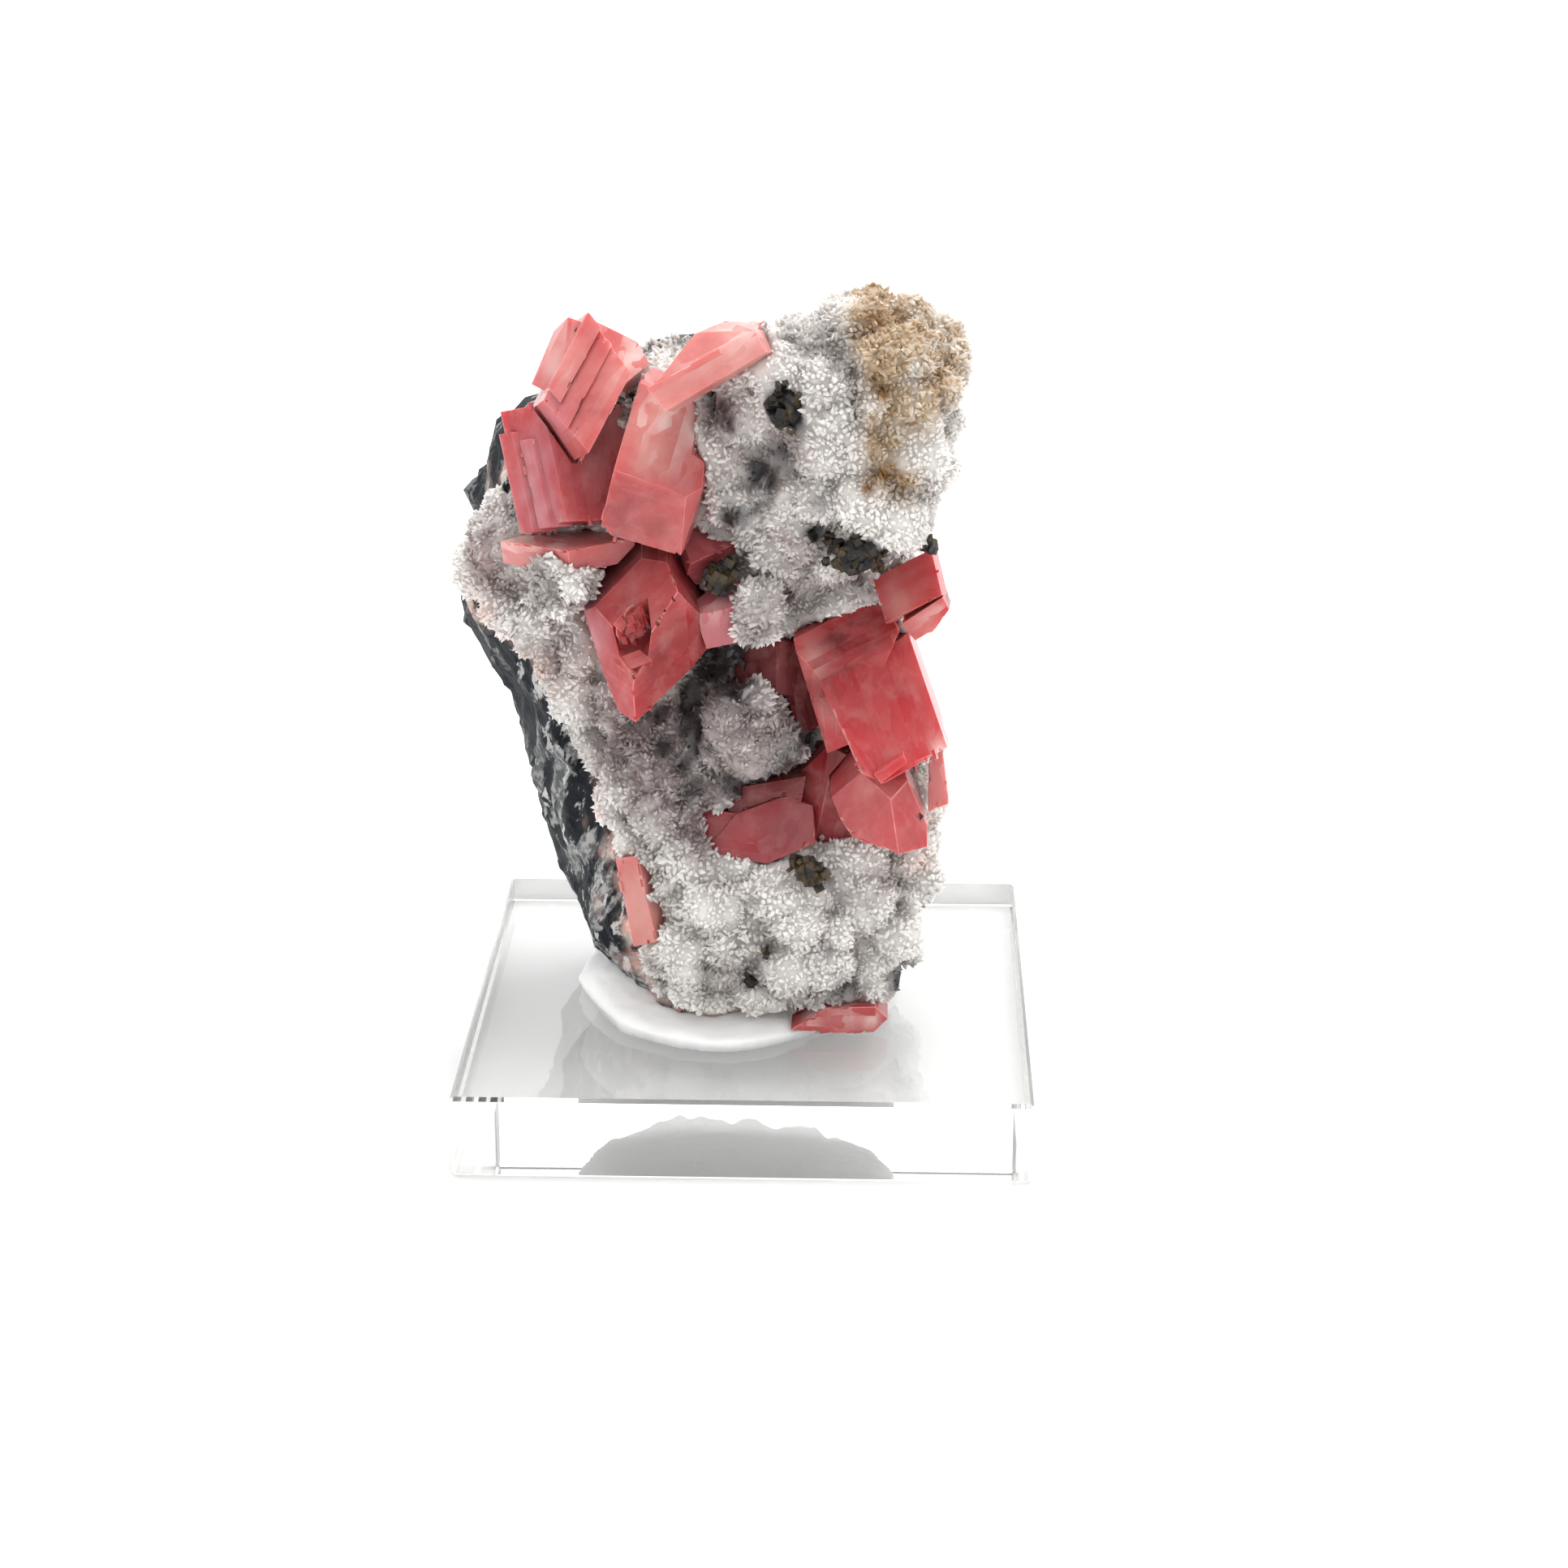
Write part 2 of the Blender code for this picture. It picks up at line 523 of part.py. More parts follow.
def crystal_cutters(names, group, grow):
    return [add_object("cut_" + name, bm, group) for name in names for bm in crystal_blocks(name, grow)]


def make_cluster(name, group, work, mat, rock_cut, earlier):
    """Join a cluster's crystals, open their pits, and clear the rock and the clusters before it."""
    members = CLUSTERS[name]
    blocks = [bm for member in members for bm in crystal_blocks(member)]
    cluster = add_object(name, blocks[0], group, mat)
    combine(cluster, [add_object("part", bm, work) for bm in blocks[1:]], "UNION")
    pits = []
    for member in members:
        for rim in PITS.get(member, []):
            points = [Vector(point) for point in rim]
            points += [point + Vector(PIT_DEPTH) for point in points]
            pits.append(add_object("pit", hull_mesh(points), work))
    rock = add_object("rock", rock_cut(), work)
    combine(cluster, pits + [rock] + crystal_cutters(earlier, work, GAP), "DIFFERENCE")
    tidy(cluster)
    return cluster


# ---------------------------------------------------------------- quartz

def lump_mesh(lumps, grow=0.0, base=None):
    """Overlapping balls, added to a base form if there is one."""
    bm = base or bmesh.new()
    for x, y, z, radius in lumps:
        place = Matrix.Translation((x, y, z))
        bmesh.ops.create_icosphere(bm, subdivisions=2, radius=radius + grow, matrix=place)
    return bm


def coat_mesh():
    """The layer of druse on the front, the right side and the top of the rock."""
    top = ROCK_LEVELS[-1][0]
    heights = np.linspace(ROCK_FOOT + GAP, top, CRUST_ROWS)
    rings = []
    for height in heights:
        left_back, left_front, right, front, back = section_at(height)
        lap = left_front + CRUST_LAP
        section = (lap, left_front, right + CRUST_COAT, front - CRUST_COAT, CRUST_BACK)
        rings.append(roughened(section_ring(float(height), section, ROCK_SIDES), ROCK_ROUGH))
    crown = [Vector((p[0], p[1], top + CRUST_COAT)) for p in rings[-1]]
    return loft(rings + [crown])


def remesh(obj, cell):
    grid = obj.modifiers.new("grid", "REMESH")
    grid.mode = "VOXEL"
    grid.voxel_size = cell * MM
    apply_modifiers(obj)


def cushion_cutter(lumps, work):
    """The room that a cushion with its spikes takes up."""
    room = add_object("cushion", lump_mesh(lumps, CUSHION_ROOM), work)
    remesh(room, CUSHION_CELL)
    return room


def raise_spikes(obj, seed):
    """Turn more than half of the facets into low pyramids, each the tip of a tuft of needles."""
    bm = bmesh.new()
    bm.from_mesh(obj.data)
    for vert in bm.verts:
        point = vert.co / MM
        sway = Vector([ripple(point, SWAY_SIZE, seed + k) for k in (20.0, 30.0, 40.0)])
        vert.co += sway * CRUST_SWAY * MM
    places = {face: face.calc_center_median() / MM for face in bm.faces}
    tufts = [face for face in bm.faces if ripple(places[face], TUFT_SIZE, seed + 60.0) > SPIKED_ABOVE]
    made = bmesh.ops.poke(bm, faces=tufts)
    bm.normal_update()
    for tip in made["verts"]:
        share = 0.5 + 0.5 * ripple(tip.co / MM, SPIKE_SIZE, seed)
        tip.co += tip.normal * (SPIKE_SHORT + (SPIKE_LONG - SPIKE_SHORT) * share) * MM
    bmesh.ops.triangulate(bm, faces=bm.faces)
    bm.to_mesh(obj.data)
    bm.free()


def make_druse(name, form, cell, group, mat, cutters, seed):
    """Fuse lumps into one knobbly body covered with spikes, then clear its neighbours."""
    druse = add_object(name, form, group, mat)
    remesh(druse, cell)
    raise_spikes(druse, seed)
    combine(druse, cutters, "DIFFERENCE")
    tidy(druse)
    return druse


# ---------------------------------------------------------------- ore grains

def grain_mesh(centre, radius, grow=0.0):
    """A blocky grain: a coarse ball knocked out of round."""
    bm = bmesh.new()
    place = Matrix.Translation(centre)
    bmesh.ops.create_icosphere(bm, subdivisions=1, radius=radius, matrix=place)
    for vert in bm.verts:
        out = (vert.co - Vector(centre)).normalized()
        vert.co += out * (radius * 0.5 * ripple(vert.co, 1.1, 9.0) + grow)
    return bm


# ---------------------------------------------------------------- assembly

def main():
    clear_scene()
    parts = collection("rhodochrosite_specimen")
    work = collection("cutters")
    mats = {name: material(name) for name in COLOURS}

    make_block(parts, mats["acrylic"])
    rock = add_object("matrix_rock", rock_mesh(), parts, mats["matrix"])
    tidy(rock)

    def rock_cut():
        return rock_mesh(GAP)

    done = []
    for name in CLUSTERS:
        make_cluster(name, parts, work, mats["rhodochrosite"], rock_cut, done)
        done += CLUSTERS[name]

    for name, (centre, radius) in ORE_GRAINS.items():
        grain = add_object(name, grain_mesh(centre, radius), parts, mats["ore"])
        around = [add_object("rock", rock_cut(), work)] + crystal_cutters(done, work, GAP)
        combine(grain, around, "DIFFERENCE")
        tidy(grain)

    def grain_cutters():
        return [add_object("ore", grain_mesh(*grain, GAP), work) for grain in ORE_GRAINS.values()]

    for seed, (name, lumps) in enumerate(CUSHIONS.items()):
        around = [add_object("rock", rock_cut(), work)] + crystal_cutters(done, work, GAP) + grain_cutters()
        make_druse(name, lump_mesh(lumps), CUSHION_CELL, parts, mats["quartz"], around, float(seed))

    lumps = UPPER_MASS + MIDDLE_LUMP + LEFT_EDGE + MIDDLE_LEFT + LOWER_MASS + RIGHT_EDGE
    around = [add_object("rock", rock_cut(), work)] + crystal_cutters(done, work, GAP) + grain_cutters()
    around += [cushion_cutter(members, work) for members in CUSHIONS.values()]
    around.append(add_object("putty", pad_mesh(GAP), work))
    form = lump_mesh(lumps, base=coat_mesh())
    make_druse("quartz_crust", form, CRUST_CELL, parts, mats["quartz"], around, 5.0)

    putty = add_object("mounting_putty", pad_mesh(), parts, mats["putty"])
    seats = [add_object("rock", rock_cut(), work)] + crystal_cutters(["foot", "low_slab"], work, GAP)
    combine(putty, seats, "DIFFERENCE")
    tidy(putty)


main()
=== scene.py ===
import itertools
import math

import bmesh
import bpy
import numpy as np
from mathutils import Matrix, Vector


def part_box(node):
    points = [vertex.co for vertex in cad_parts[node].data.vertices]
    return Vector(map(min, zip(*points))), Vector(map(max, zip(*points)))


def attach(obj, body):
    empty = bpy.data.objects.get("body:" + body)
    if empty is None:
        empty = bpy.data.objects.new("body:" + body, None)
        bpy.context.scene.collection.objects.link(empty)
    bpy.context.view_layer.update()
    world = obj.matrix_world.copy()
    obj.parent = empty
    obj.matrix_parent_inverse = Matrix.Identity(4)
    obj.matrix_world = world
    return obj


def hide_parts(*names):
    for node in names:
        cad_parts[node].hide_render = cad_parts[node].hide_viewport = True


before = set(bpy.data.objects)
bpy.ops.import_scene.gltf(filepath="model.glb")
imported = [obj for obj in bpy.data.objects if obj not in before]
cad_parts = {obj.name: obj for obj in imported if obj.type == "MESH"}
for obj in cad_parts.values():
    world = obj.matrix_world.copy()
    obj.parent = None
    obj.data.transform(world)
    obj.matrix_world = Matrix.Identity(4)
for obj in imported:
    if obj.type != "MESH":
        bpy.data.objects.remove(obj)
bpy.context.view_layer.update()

MM = 0.001

# Druse of quartz needles, sizes in millimetres.
BASE_CELL = 0.40          # grid of the surface that the needles grow from
BASE_SINK = 0.10          # how far that surface lies under the tips
BASE_SMOOTHING = 8
LUMPS = ((3.5, 1.7), (1.5, 0.45))     # size and depth of the druse's rounded lumps
HOLLOW_START = 0.20       # depth at which the painted shade in a hollow starts, and how fast it darkens
HOLLOW_SHADE = 1.0
LUMP_STEEPNESS = 1.8
LUMP_LEVEL = 0.40         # share of the depth that lies above the plain surface
HUG = 0.38                # how far the druse swells to meet a crystal beside it
HUG_REACH = 0.8
CUSHION_SHADE_CAP = 0.80      # the most painted shade that the cushions take on
CUSHION_SWELL = 0.40      # the small cushions regain what smoothing takes from them
NEEDLE_SIDES = 6
NEEDLE_SPACING = 0.42
NEEDLE_LENGTH = (0.10, 0.60)
NEEDLE_RADIUS = (0.13, 0.28)
NEEDLE_ROOT = 0.30        # how deep a needle is rooted
NEEDLES_A_PIECE = 8800
MOST_NEEDLES = {          # upper bound for each piece of the druse
    "quartz_crust": 35000, "quartz_cushion_centre": 3000, "quartz_cushion_left": 2400, "quartz_knob": 900,
}
TUFT_SIZE = 1.1           # neighbours within this distance lean the same way
TUFT_LEAN = 0.22          # how far a needle leans with its tuft, on its own, and upwards
OWN_LEAN = 0.42
UP_LEAN = 0.10
ROOT_DENSITY = 30.0       # places tried for a root, to each square millimetre
BARE_LOSS = 0.85          # share of the needles lost where rock is bare and in the gaps with painted shade
BARE_SEED = 43            # the needles thin out where the colour turns dark: bare rock, and painted shade in the gaps
GRAIN = (0.5, 0.10)       # size and height of the grain under the needles
KEEP_OFF = 0.35           # cell of the space that other pieces fill

# Crystals, in millimetres.
FACET_ANGLE = math.radians(8.0)
EDGE_WIDTH = 0.055
EDGE_ANGLE = math.radians(32.0)
GROWTH = 0.1              # how far a crystal is grown to meet its neighbours, unless GROWN says
NOTCHES = 1.3             # how many notches and crumbs for each millimetre of a crystal's size
CRUMBS = 0.8
CHIP_LOW = (0.25, 0.12, 0.10)         # smallest and largest chip along the three cleavages
CHIP_HIGH = (1.10, 0.42, 0.34)
CRUMB_SHARE = 0.7         # size of a crumb beside a chip
REFINE_ROUNDS = 4
REFINE_ABOVE = 0.9        # longest edge that can still carry the changing colour

# Matrix rock, in millimetres.
ROCK_CUTS = 5
ROCK_CHIPS = 0.35
ROCK_SLANT = math.radians(-24.0)      # the streaks follow the left flank
ORE_BLOCK = 0.55          # size of the steps on the ore grains
ORE_CHIPS = 0.30
ORE_SHRINK = 0.92
ORE_DRAW = 0.65           # how far its points are drawn to the steps
SAWN_DEPTH = 0.3          # the sawn faces and their chamfers lie within this of the block's sides
POLISHED, FRONT_ROUGHER, SAWN_ROUGHER = 0.01, 0.03, 0.30
ROCK_TOP = (-5.6, 1.4, 52.3)          # where the rock has needles and a pale skin of its own
TUFTS_REACH = (3.0, 4.2, 2.0)
SKIN_REACH = (3.6, 3.4, 2.4)
FLANK_PUSH = ((6.5, 9.0, 14.0, 28.0, 34.0, 39.0, 42.0, 44.0, 49.0, 52.0),
              (0.4, 1.5, 1.9, 1.6, 2.0, 0.6, 1.2, 1.7, 1.3, 0.0))       # z, and how far left
ROCK_SHOULDER = 1.2       # how far the rock's top rises to meet the quartz
PUTTY_CELL = 0.22
PUTTY_SMOOTHING = 4
PUTTY_GRIP = 0.48         # putty lower than this above the block is pressed onto it
PUTTY_SINK = 0.004
PUTTY_RAGGED = 5.0        # behind this the rim of the putty is torn
PUTTY_TEAR = 1.5
PUTTY_DENTS = ((2.2, 0.16), (0.8, 0.06))          # size and depth
RIM_REACH = 1.3           # width of the pale band where the rock meets the quartz


# ---------------------------------------------------------------- arrays and meshes

def lattice(cells, seed):
    """Random value from -1 to 1 for each whole-number cell, from a product of primes folded on itself."""
    primes = np.array([73856093, 19349663, 83492791], np.int64)
    mixed = (cells * primes).sum(-1) + seed * 2654435761
    mixed = (mixed ^ (mixed >> 13)) * 1274126177 & 0xFFFFFFFF
    mixed = (mixed ^ (mixed >> 16)) & 0xFFFFFF
    return mixed / 0x7FFFFF - 1.0


def soft_noise(points, size, seed):
    """Value noise: the eight cell corners around each point, blended by 3t^2 - 2t^3 on each axis."""
    scaled = points / size
    corner = np.floor(scaled).astype(np.int64)
    t = scaled - corner
    t = t * t * (3.0 - 2.0 * t)
    total = np.zeros(len(points))
    for offset in itertools.product((0, 1), repeat=3):
        weight = np.prod(np.where(offset, t, 1.0 - t), axis=1)
        total += weight * lattice(corner + np.array(offset), seed)
    return total


def lump_height(points, size, seed):
    """Rounded lumps: 1 - k (d / size)^2 of the distance d to the nearest of a jittered grid's points."""
    corner = np.floor(points / size).astype(np.int64)
    nearest = np.full(len(points), 9.0)
    for offset in itertools.product((-1, 0, 1), repeat=3):
        cell = corner + np.array(offset)
        jitter = np.stack([lattice(cell, seed + k) for k in range(3)], axis=1)
        away = points / size - (cell + 0.5 + 0.45 * jitter)
        nearest = np.minimum(nearest, (away ** 2).sum(1))
    return 1.0 - np.minimum(LUMP_STEEPNESS * nearest, 1.0)


def nearest_distance(points, others):
    """Distance from each point to the nearest of some others, a block of points at a time."""
    found = np.empty(len(points))
    others = others.astype(np.float32)
    for start in range(0, len(points), 1500):
        block = points[start:start + 1500].astype(np.float32)
        away = (block ** 2).sum(1)[:, None] - 2.0 * block @ others.T + (others ** 2).sum(1)[None]
        found[start:start + 1500] = np.sqrt(np.maximum(away.min(1), 0.0))
    return found


def noise_vector(points, size, seed):
    """Three independent noises as one vector for each point."""
    return np.stack([soft_noise(points, size, seed + k) for k in range(3)], axis=1)


def unit(vectors):
    """Each vector divided by its own length."""
    return vectors / np.maximum(np.linalg.norm(vectors, axis=-1, keepdims=True), 1e-9)


def vertex_array(mesh):
    """Vertex places in millimetres."""
    co = np.empty(len(mesh.vertices) * 3, np.float32)
    mesh.vertices.foreach_get("co", co)
    return co.reshape(-1, 3).astype(float) / MM


def store_vertices(mesh, points):
    """Put places in millimetres back into a mesh."""
    mesh.vertices.foreach_set("co", (points * MM).astype(np.float32).ravel())
    mesh.update()


def normal_array(mesh):
    """Outward normals of the vertices."""
    normals = np.empty(len(mesh.vertices) * 3, np.float32)
    mesh.vertex_normals.foreach_get("vector", normals)
    return normals.reshape(-1, 3).astype(float)


def triangle_array(mesh):
    """Vertex numbers of the triangles that the faces divide into."""
    mesh.calc_loop_triangles()
    index = np.empty(len(mesh.loop_triangles) * 3, np.int32)
    mesh.loop_triangles.foreach_get("vertices", index)
    return index.reshape(-1, 3)


def link(name, mesh):
    """A new object in the scene that shows a mesh."""
    obj = bpy.data.objects.new(name, mesh)
    bpy.context.scene.collection.objects.link(obj)
    return obj


def finish_piece(obj, nodes=(), materials=()):
    """Dress a piece, let it ride with the specimen and stand for its CAD nodes."""
    for mat in materials:
        obj.data.materials.append(mat)
    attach(obj, "root")
    if nodes:
        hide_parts(*nodes)
    return obj


def merged_copy(node, name):
    """A copy of a CAD node's mesh with its loose triangles joined."""
    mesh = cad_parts[node].data.copy()
    mesh.name = name
    mesh.materials.clear()
    bm = bmesh.new()
    bm.from_mesh(mesh)
    bmesh.ops.remove_doubles(bm, verts=bm.verts, dist=0.002 * MM)
    bm.to_mesh(mesh)
    bm.free()
    return link(name, mesh)


def keep_evaluated(obj):
    """Keep the mesh that the modifiers give and drop the modifiers."""
    depsgraph = bpy.context.evaluated_depsgraph_get()
    mesh = bpy.data.meshes.new_from_object(obj.evaluated_get(depsgraph))
    obj.modifiers.clear()
    obj.data = mesh


def shade(mesh, smooth):
    """Make all faces smooth or flat."""
    mesh.polygons.foreach_set("use_smooth", np.full(len(mesh.polygons), smooth))


def set_attribute(mesh, name, values):
    """Store one value for each vertex, for the materials to read."""
    attribute = mesh.attributes.new(name, "FLOAT", "POINT")
    attribute.data.foreach_set("value", values.astype(np.float32))


# ---------------------------------------------------------------- material nodes

def new_group(name, inputs, outputs):
    """An empty shader node group with named float, vector and colour sockets."""
    group = bpy.data.node_groups.new(name, "ShaderNodeTree")
    for socket, (kind, value) in inputs.items():
        made = group.interface.new_socket(socket, in_out="INPUT", socket_type=kind)
        if value is not None:
            made.default_value = value
    for socket, kind in outputs.items():
        group.interface.new_socket(socket, in_out="OUTPUT", socket_type=kind)
    return group, group.nodes.new("NodeGroupInput"), group.nodes.new("NodeGroupOutput")


def add_node(tree, kind, settings=None, **values):
    """A node with its settings, and its inputs given by name: a value, or a socket to link."""
    node = tree.nodes.new(kind)
    for key, value in (settings or {}).items():
        setattr(node, key, value)
    for key, value in values.items():
        wanted = key.replace("_", " ")
        socket = next(s for s in node.inputs if s.name == wanted and s.enabled)
        if isinstance(value, bpy.types.NodeSocket):
            tree.links.new(value, socket)
        else:
            socket.default_value = value
    return node


def math_node(tree, operation, a, b=0.0):
    """The result of a Math node on two values or sockets."""
    node = tree.nodes.new("ShaderNodeMath")
    node.operation = operation
    for socket, value in zip(node.inputs, (a, b)):
        if isinstance(value, bpy.types.NodeSocket):
            tree.links.new(value, socket)
        else:
            socket.default_value = value
    return node.outputs[0]


def mix_colour(tree, share, a, b):
    """Colour a, with a share of colour b over it."""
    node = tree.nodes.new("ShaderNodeMix")
    node.data_type = "RGBA"
    for socket, value in ((node.inputs[0], share), (node.inputs[6], a), (node.inputs[7], b)):
        if isinstance(value, bpy.types.NodeSocket):
            tree.links.new(value, socket)
        else:
            socket.default_value = value if isinstance(value, float) else (*value, 1.0)
    return node.outputs[2]


def build_mottle():
    """Group: cloudy mask from 0 to 1 on Object coordinates, with stretch, size and sharpness."""
    group, inside, out = new_group(
        "mottle",
        {"Scale": ("NodeSocketFloat", 1000.0), "Low": ("NodeSocketFloat", 0.4),
         "High": ("NodeSocketFloat", 0.6), "Stretch": ("NodeSocketVector", (1.0, 1.0, 1.0)),
         "Turn": ("NodeSocketFloat", 0.0), "Detail": ("NodeSocketFloat", 4.0)},
        {"Mask": "NodeSocketFloat"})
    place = add_node(group, "ShaderNodeTexCoord").outputs["Object"]
    turned = add_node(group, "ShaderNodeVectorRotate", {"rotation_type": "Y_AXIS"}, Vector=place,
                      Angle=inside.outputs["Turn"])
    stretched = add_node(group, "ShaderNodeVectorMath", {"operation": "MULTIPLY"})
    group.links.new(turned.outputs[0], stretched.inputs[0])
    group.links.new(inside.outputs["Stretch"], stretched.inputs[1])
    noise = add_node(group, "ShaderNodeTexNoise", Vector=stretched.outputs[0],
                     Scale=inside.outputs["Scale"], Detail=inside.outputs["Detail"], Roughness=0.6)
    ramp = add_node(group, "ShaderNodeMapRange", Value=noise.outputs[0],
                    From_Min=inside.outputs["Low"], From_Max=inside.outputs["High"])
    group.links.new(ramp.outputs[0], out.inputs["Mask"])
    return group


def build_grit():
    """Group: bumpy normal from one noise of five octaves on Object coordinates."""
    group, inside, out = new_group(
        "grit",
        {"Scale": ("NodeSocketFloat", 1000.0), "Depth": ("NodeSocketFloat", 0.00005)},
        {"Normal": "NodeSocketVector"})
    place = add_node(group, "ShaderNodeTexCoord").outputs["Object"]
    grains = add_node(group, "ShaderNodeTexNoise", Vector=place, Scale=inside.outputs["Scale"],
                      Detail=5.0, Roughness=0.65)
    bump = add_node(group, "ShaderNodeBump", Height=grains.outputs[0], Strength=1.0,
                    Distance=inside.outputs["Depth"])
    group.links.new(bump.outputs[0], out.inputs["Normal"])
    return group


def build_bands():
    """Group: cleavage marks on a face's own coordinates: long bands, slanted blocks and cracks."""
    group, inside, out = new_group(
        "cleavage",
        {"Width": ("NodeSocketFloat", 0.6), "Step": ("NodeSocketFloat", 0.00002)},
        {"Value": "NodeSocketFloat", "Crack": "NodeSocketFloat", "Normal": "NodeSocketVector"})
    face_place = add_node(group, "ShaderNodeUVMap", {"uv_map": "face"}).outputs[0]
    split = add_node(group, "ShaderNodeSeparateXYZ", Vector=face_place)
    waver = add_node(group, "ShaderNodeTexNoise", Vector=face_place, Scale=0.5, Detail=1.0)
    across = math_node(group, "ADD", split.outputs["Y"],
                       math_node(group, "MULTIPLY", waver.outputs[0], 0.12))
    share = math_node(group, "DIVIDE", across, inside.outputs["Width"])
    band = add_node(group, "ShaderNodeTexVoronoi", {"voronoi_dimensions": "1D"}, W=share, Scale=1.0)
    value = add_node(group, "ShaderNodeSeparateColor", Color=band.outputs["Color"]).outputs[0]
    edge = add_node(group, "ShaderNodeTexVoronoi",
                    {"voronoi_dimensions": "1D", "feature": "DISTANCE_TO_EDGE"}, W=share, Scale=1.0)
    line = add_node(group, "ShaderNodeMapRange", Value=edge.outputs["Distance"], From_Min=0.05,
                    From_Max=0.015).outputs[0]
    broken = add_node(group, "ShaderNodeTexNoise", Vector=face_place, Scale=0.9, Detail=2.0)
    seen = add_node(group, "ShaderNodeMapRange", Value=broken.outputs[0], From_Min=0.55,
                    From_Max=0.66).outputs[0]
    slanted = add_node(group, "ShaderNodeVectorMath", {"operation": "MULTIPLY"})
    group.links.new(add_node(group, "ShaderNodeVectorRotate", {"rotation_type": "Z_AXIS"},
                             Vector=face_place, Angle=math.radians(17.0)).outputs[0], slanted.inputs[0])
    slanted.inputs[1].default_value = (0.55, 1.3, 1.0)
    block = add_node(group, "ShaderNodeTexVoronoi",
                     {"voronoi_dimensions": "2D", "distance": "CHEBYCHEV"}, Vector=slanted.outputs[0],
                     Scale=1.0)
    tone = add_node(group, "ShaderNodeSeparateColor", Color=block.outputs["Color"]).outputs[1]
    stretched = add_node(group, "ShaderNodeVectorMath", {"operation": "MULTIPLY"})
    group.links.new(face_place, stretched.inputs[0])
    stretched.inputs[1].default_value = (0.12, 1.0, 1.0)
    fine = add_node(group, "ShaderNodeTexNoise", Vector=stretched.outputs[0], Scale=2.5, Detail=3.0)
    both = math_node(group, "ADD", math_node(group, "MULTIPLY", value, 0.5),
                     math_node(group, "MULTIPLY", tone, 0.5))
    height = math_node(group, "ADD", both, fine.outputs[0])
    bump = add_node(group, "ShaderNodeBump", Height=height, Strength=1.0,
                    Distance=inside.outputs["Step"])
    group.links.new(both, out.inputs["Value"])
    group.links.new(math_node(group, "MULTIPLY", line, seen), out.inputs["Crack"])
    group.links.new(bump.outputs[0], out.inputs["Normal"])
    return group


MOTTLE = build_mottle()
GRIT = build_grit()
BANDS = build_bands()


def use_group(tree, group, **values):
    """A node group placed in a material, with its own values or links."""
    node = tree.nodes.new("ShaderNodeGroup")
    node.node_tree = group
    for key, value in values.items():
        if isinstance(value, bpy.types.NodeSocket):
            tree.links.new(value, node.inputs[key])
        else:
            node.inputs[key].default_value = value
    return node


def new_material(name, **values):
    """A material whose Principled shader has the given socket values."""
    mat = bpy.data.materials.new(name)
    mat.use_nodes = True
    shader = mat.node_tree.nodes["Principled BSDF"]
    for key, value in values.items():
        shader.inputs[key.replace("_", " ")].default_value = value
    return mat, mat.node_tree, shader


def feed(tree, shader, **sockets):
    """Link colours, values and normals to the shader's inputs by name."""
    for key, source in sockets.items():
        tree.links.new(source, shader.inputs[key.replace("_", " ")])


def mark(tree, name):
    """The value that the mesh stores under a name; 0 where it stores none."""
    return add_node(tree, "ShaderNodeAttribute", {"attribute_name": name}).outputs["Fac"]


def rock_colour(tree):
    """Black blobs on grey rock, and white streaks that follow them; darker and plainer behind."""
    slant = {"Stretch": (1.0, 1.0, 0.35), "Turn": ROCK_SLANT}
    black = use_group(tree, MOTTLE, Scale=400.0, Low=0.53, High=0.56, Detail=7.0, **slant)
    fine = use_group(tree, MOTTLE, Scale=1300.0, Low=0.44, High=0.56, Detail=6.0)
    white = use_group(tree, MOTTLE, Scale=760.0, Low=0.575, High=0.61, Detail=8.0, **slant)
    grey = mix_colour(tree, fine.outputs["Mask"], (0.10, 0.105, 0.11), (0.36, 0.36, 0.35))
    colour = mix_colour(tree, black.outputs["Mask"], (0.006, 0.009, 0.013), grey)
    behind = math_node(tree, "SUBTRACT", 1.0, math_node(tree, "MULTIPLY", mark(tree, "behind"), 0.75))
    colour = mix_colour(tree, behind, (0.022, 0.026, 0.030), colour)
    white = math_node(tree, "MULTIPLY", white.outputs["Mask"], behind)
    return mix_colour(tree, white, colour, (0.54, 0.53, 0.52))


def quartz_colour(tree, pale, grey):
    """Mix of pale and grey quartz, then each mark's colour: painted shade in the hollows, painted shade
    where the druse lies in shade, blush, stain, rust, bare rock and painted shade in the gaps, and
    near-black painted shade in the recesses.
    """
    cloud = use_group(tree, MOTTLE, Scale=330.0, Low=0.38, High=0.68).outputs["Mask"]
    brown = use_group(tree, MOTTLE, Scale=520.0, Low=0.40, High=0.66).outputs["Mask"]
    plain = mix_colour(tree, cloud, pale, grey)
    # painted shade: grey-brown in the hollows between the druse's lumps
    plain = mix_colour(tree, mark(tree, "hollow"), plain, (0.30, 0.27, 0.25))
    # painted shade: smoky grey-brown where the druse lies in shade
    plain = mix_colour(tree, mark(tree, "painted_shade"), plain, (0.27, 0.215, 0.21))
    plain = mix_colour(tree, mark(tree, "blush"), plain, (0.70, 0.50, 0.45))
    tan = mix_colour(tree, brown, (0.56, 0.43, 0.30), (0.36, 0.235, 0.125))
    colour = mix_colour(tree, mark(tree, "stain"), plain, tan)
    colour = mix_colour(tree, mark(tree, "rust"), colour, (0.20, 0.09, 0.02))
    # bare rock, and painted shade in the dark gaps, both in the rock's own colours
    colour = mix_colour(tree, mark(tree, "bare_and_shade"), colour, rock_colour(tree))
    # near-black painted shade in the recesses, where the gaps meet the shaded patches
    recess = math_node(tree, "MULTIPLY", mark(tree, "bare_and_shade"), mark(tree, "painted_shade"))
    return mix_colour(tree, recess, colour, (0.035, 0.026, 0.025))


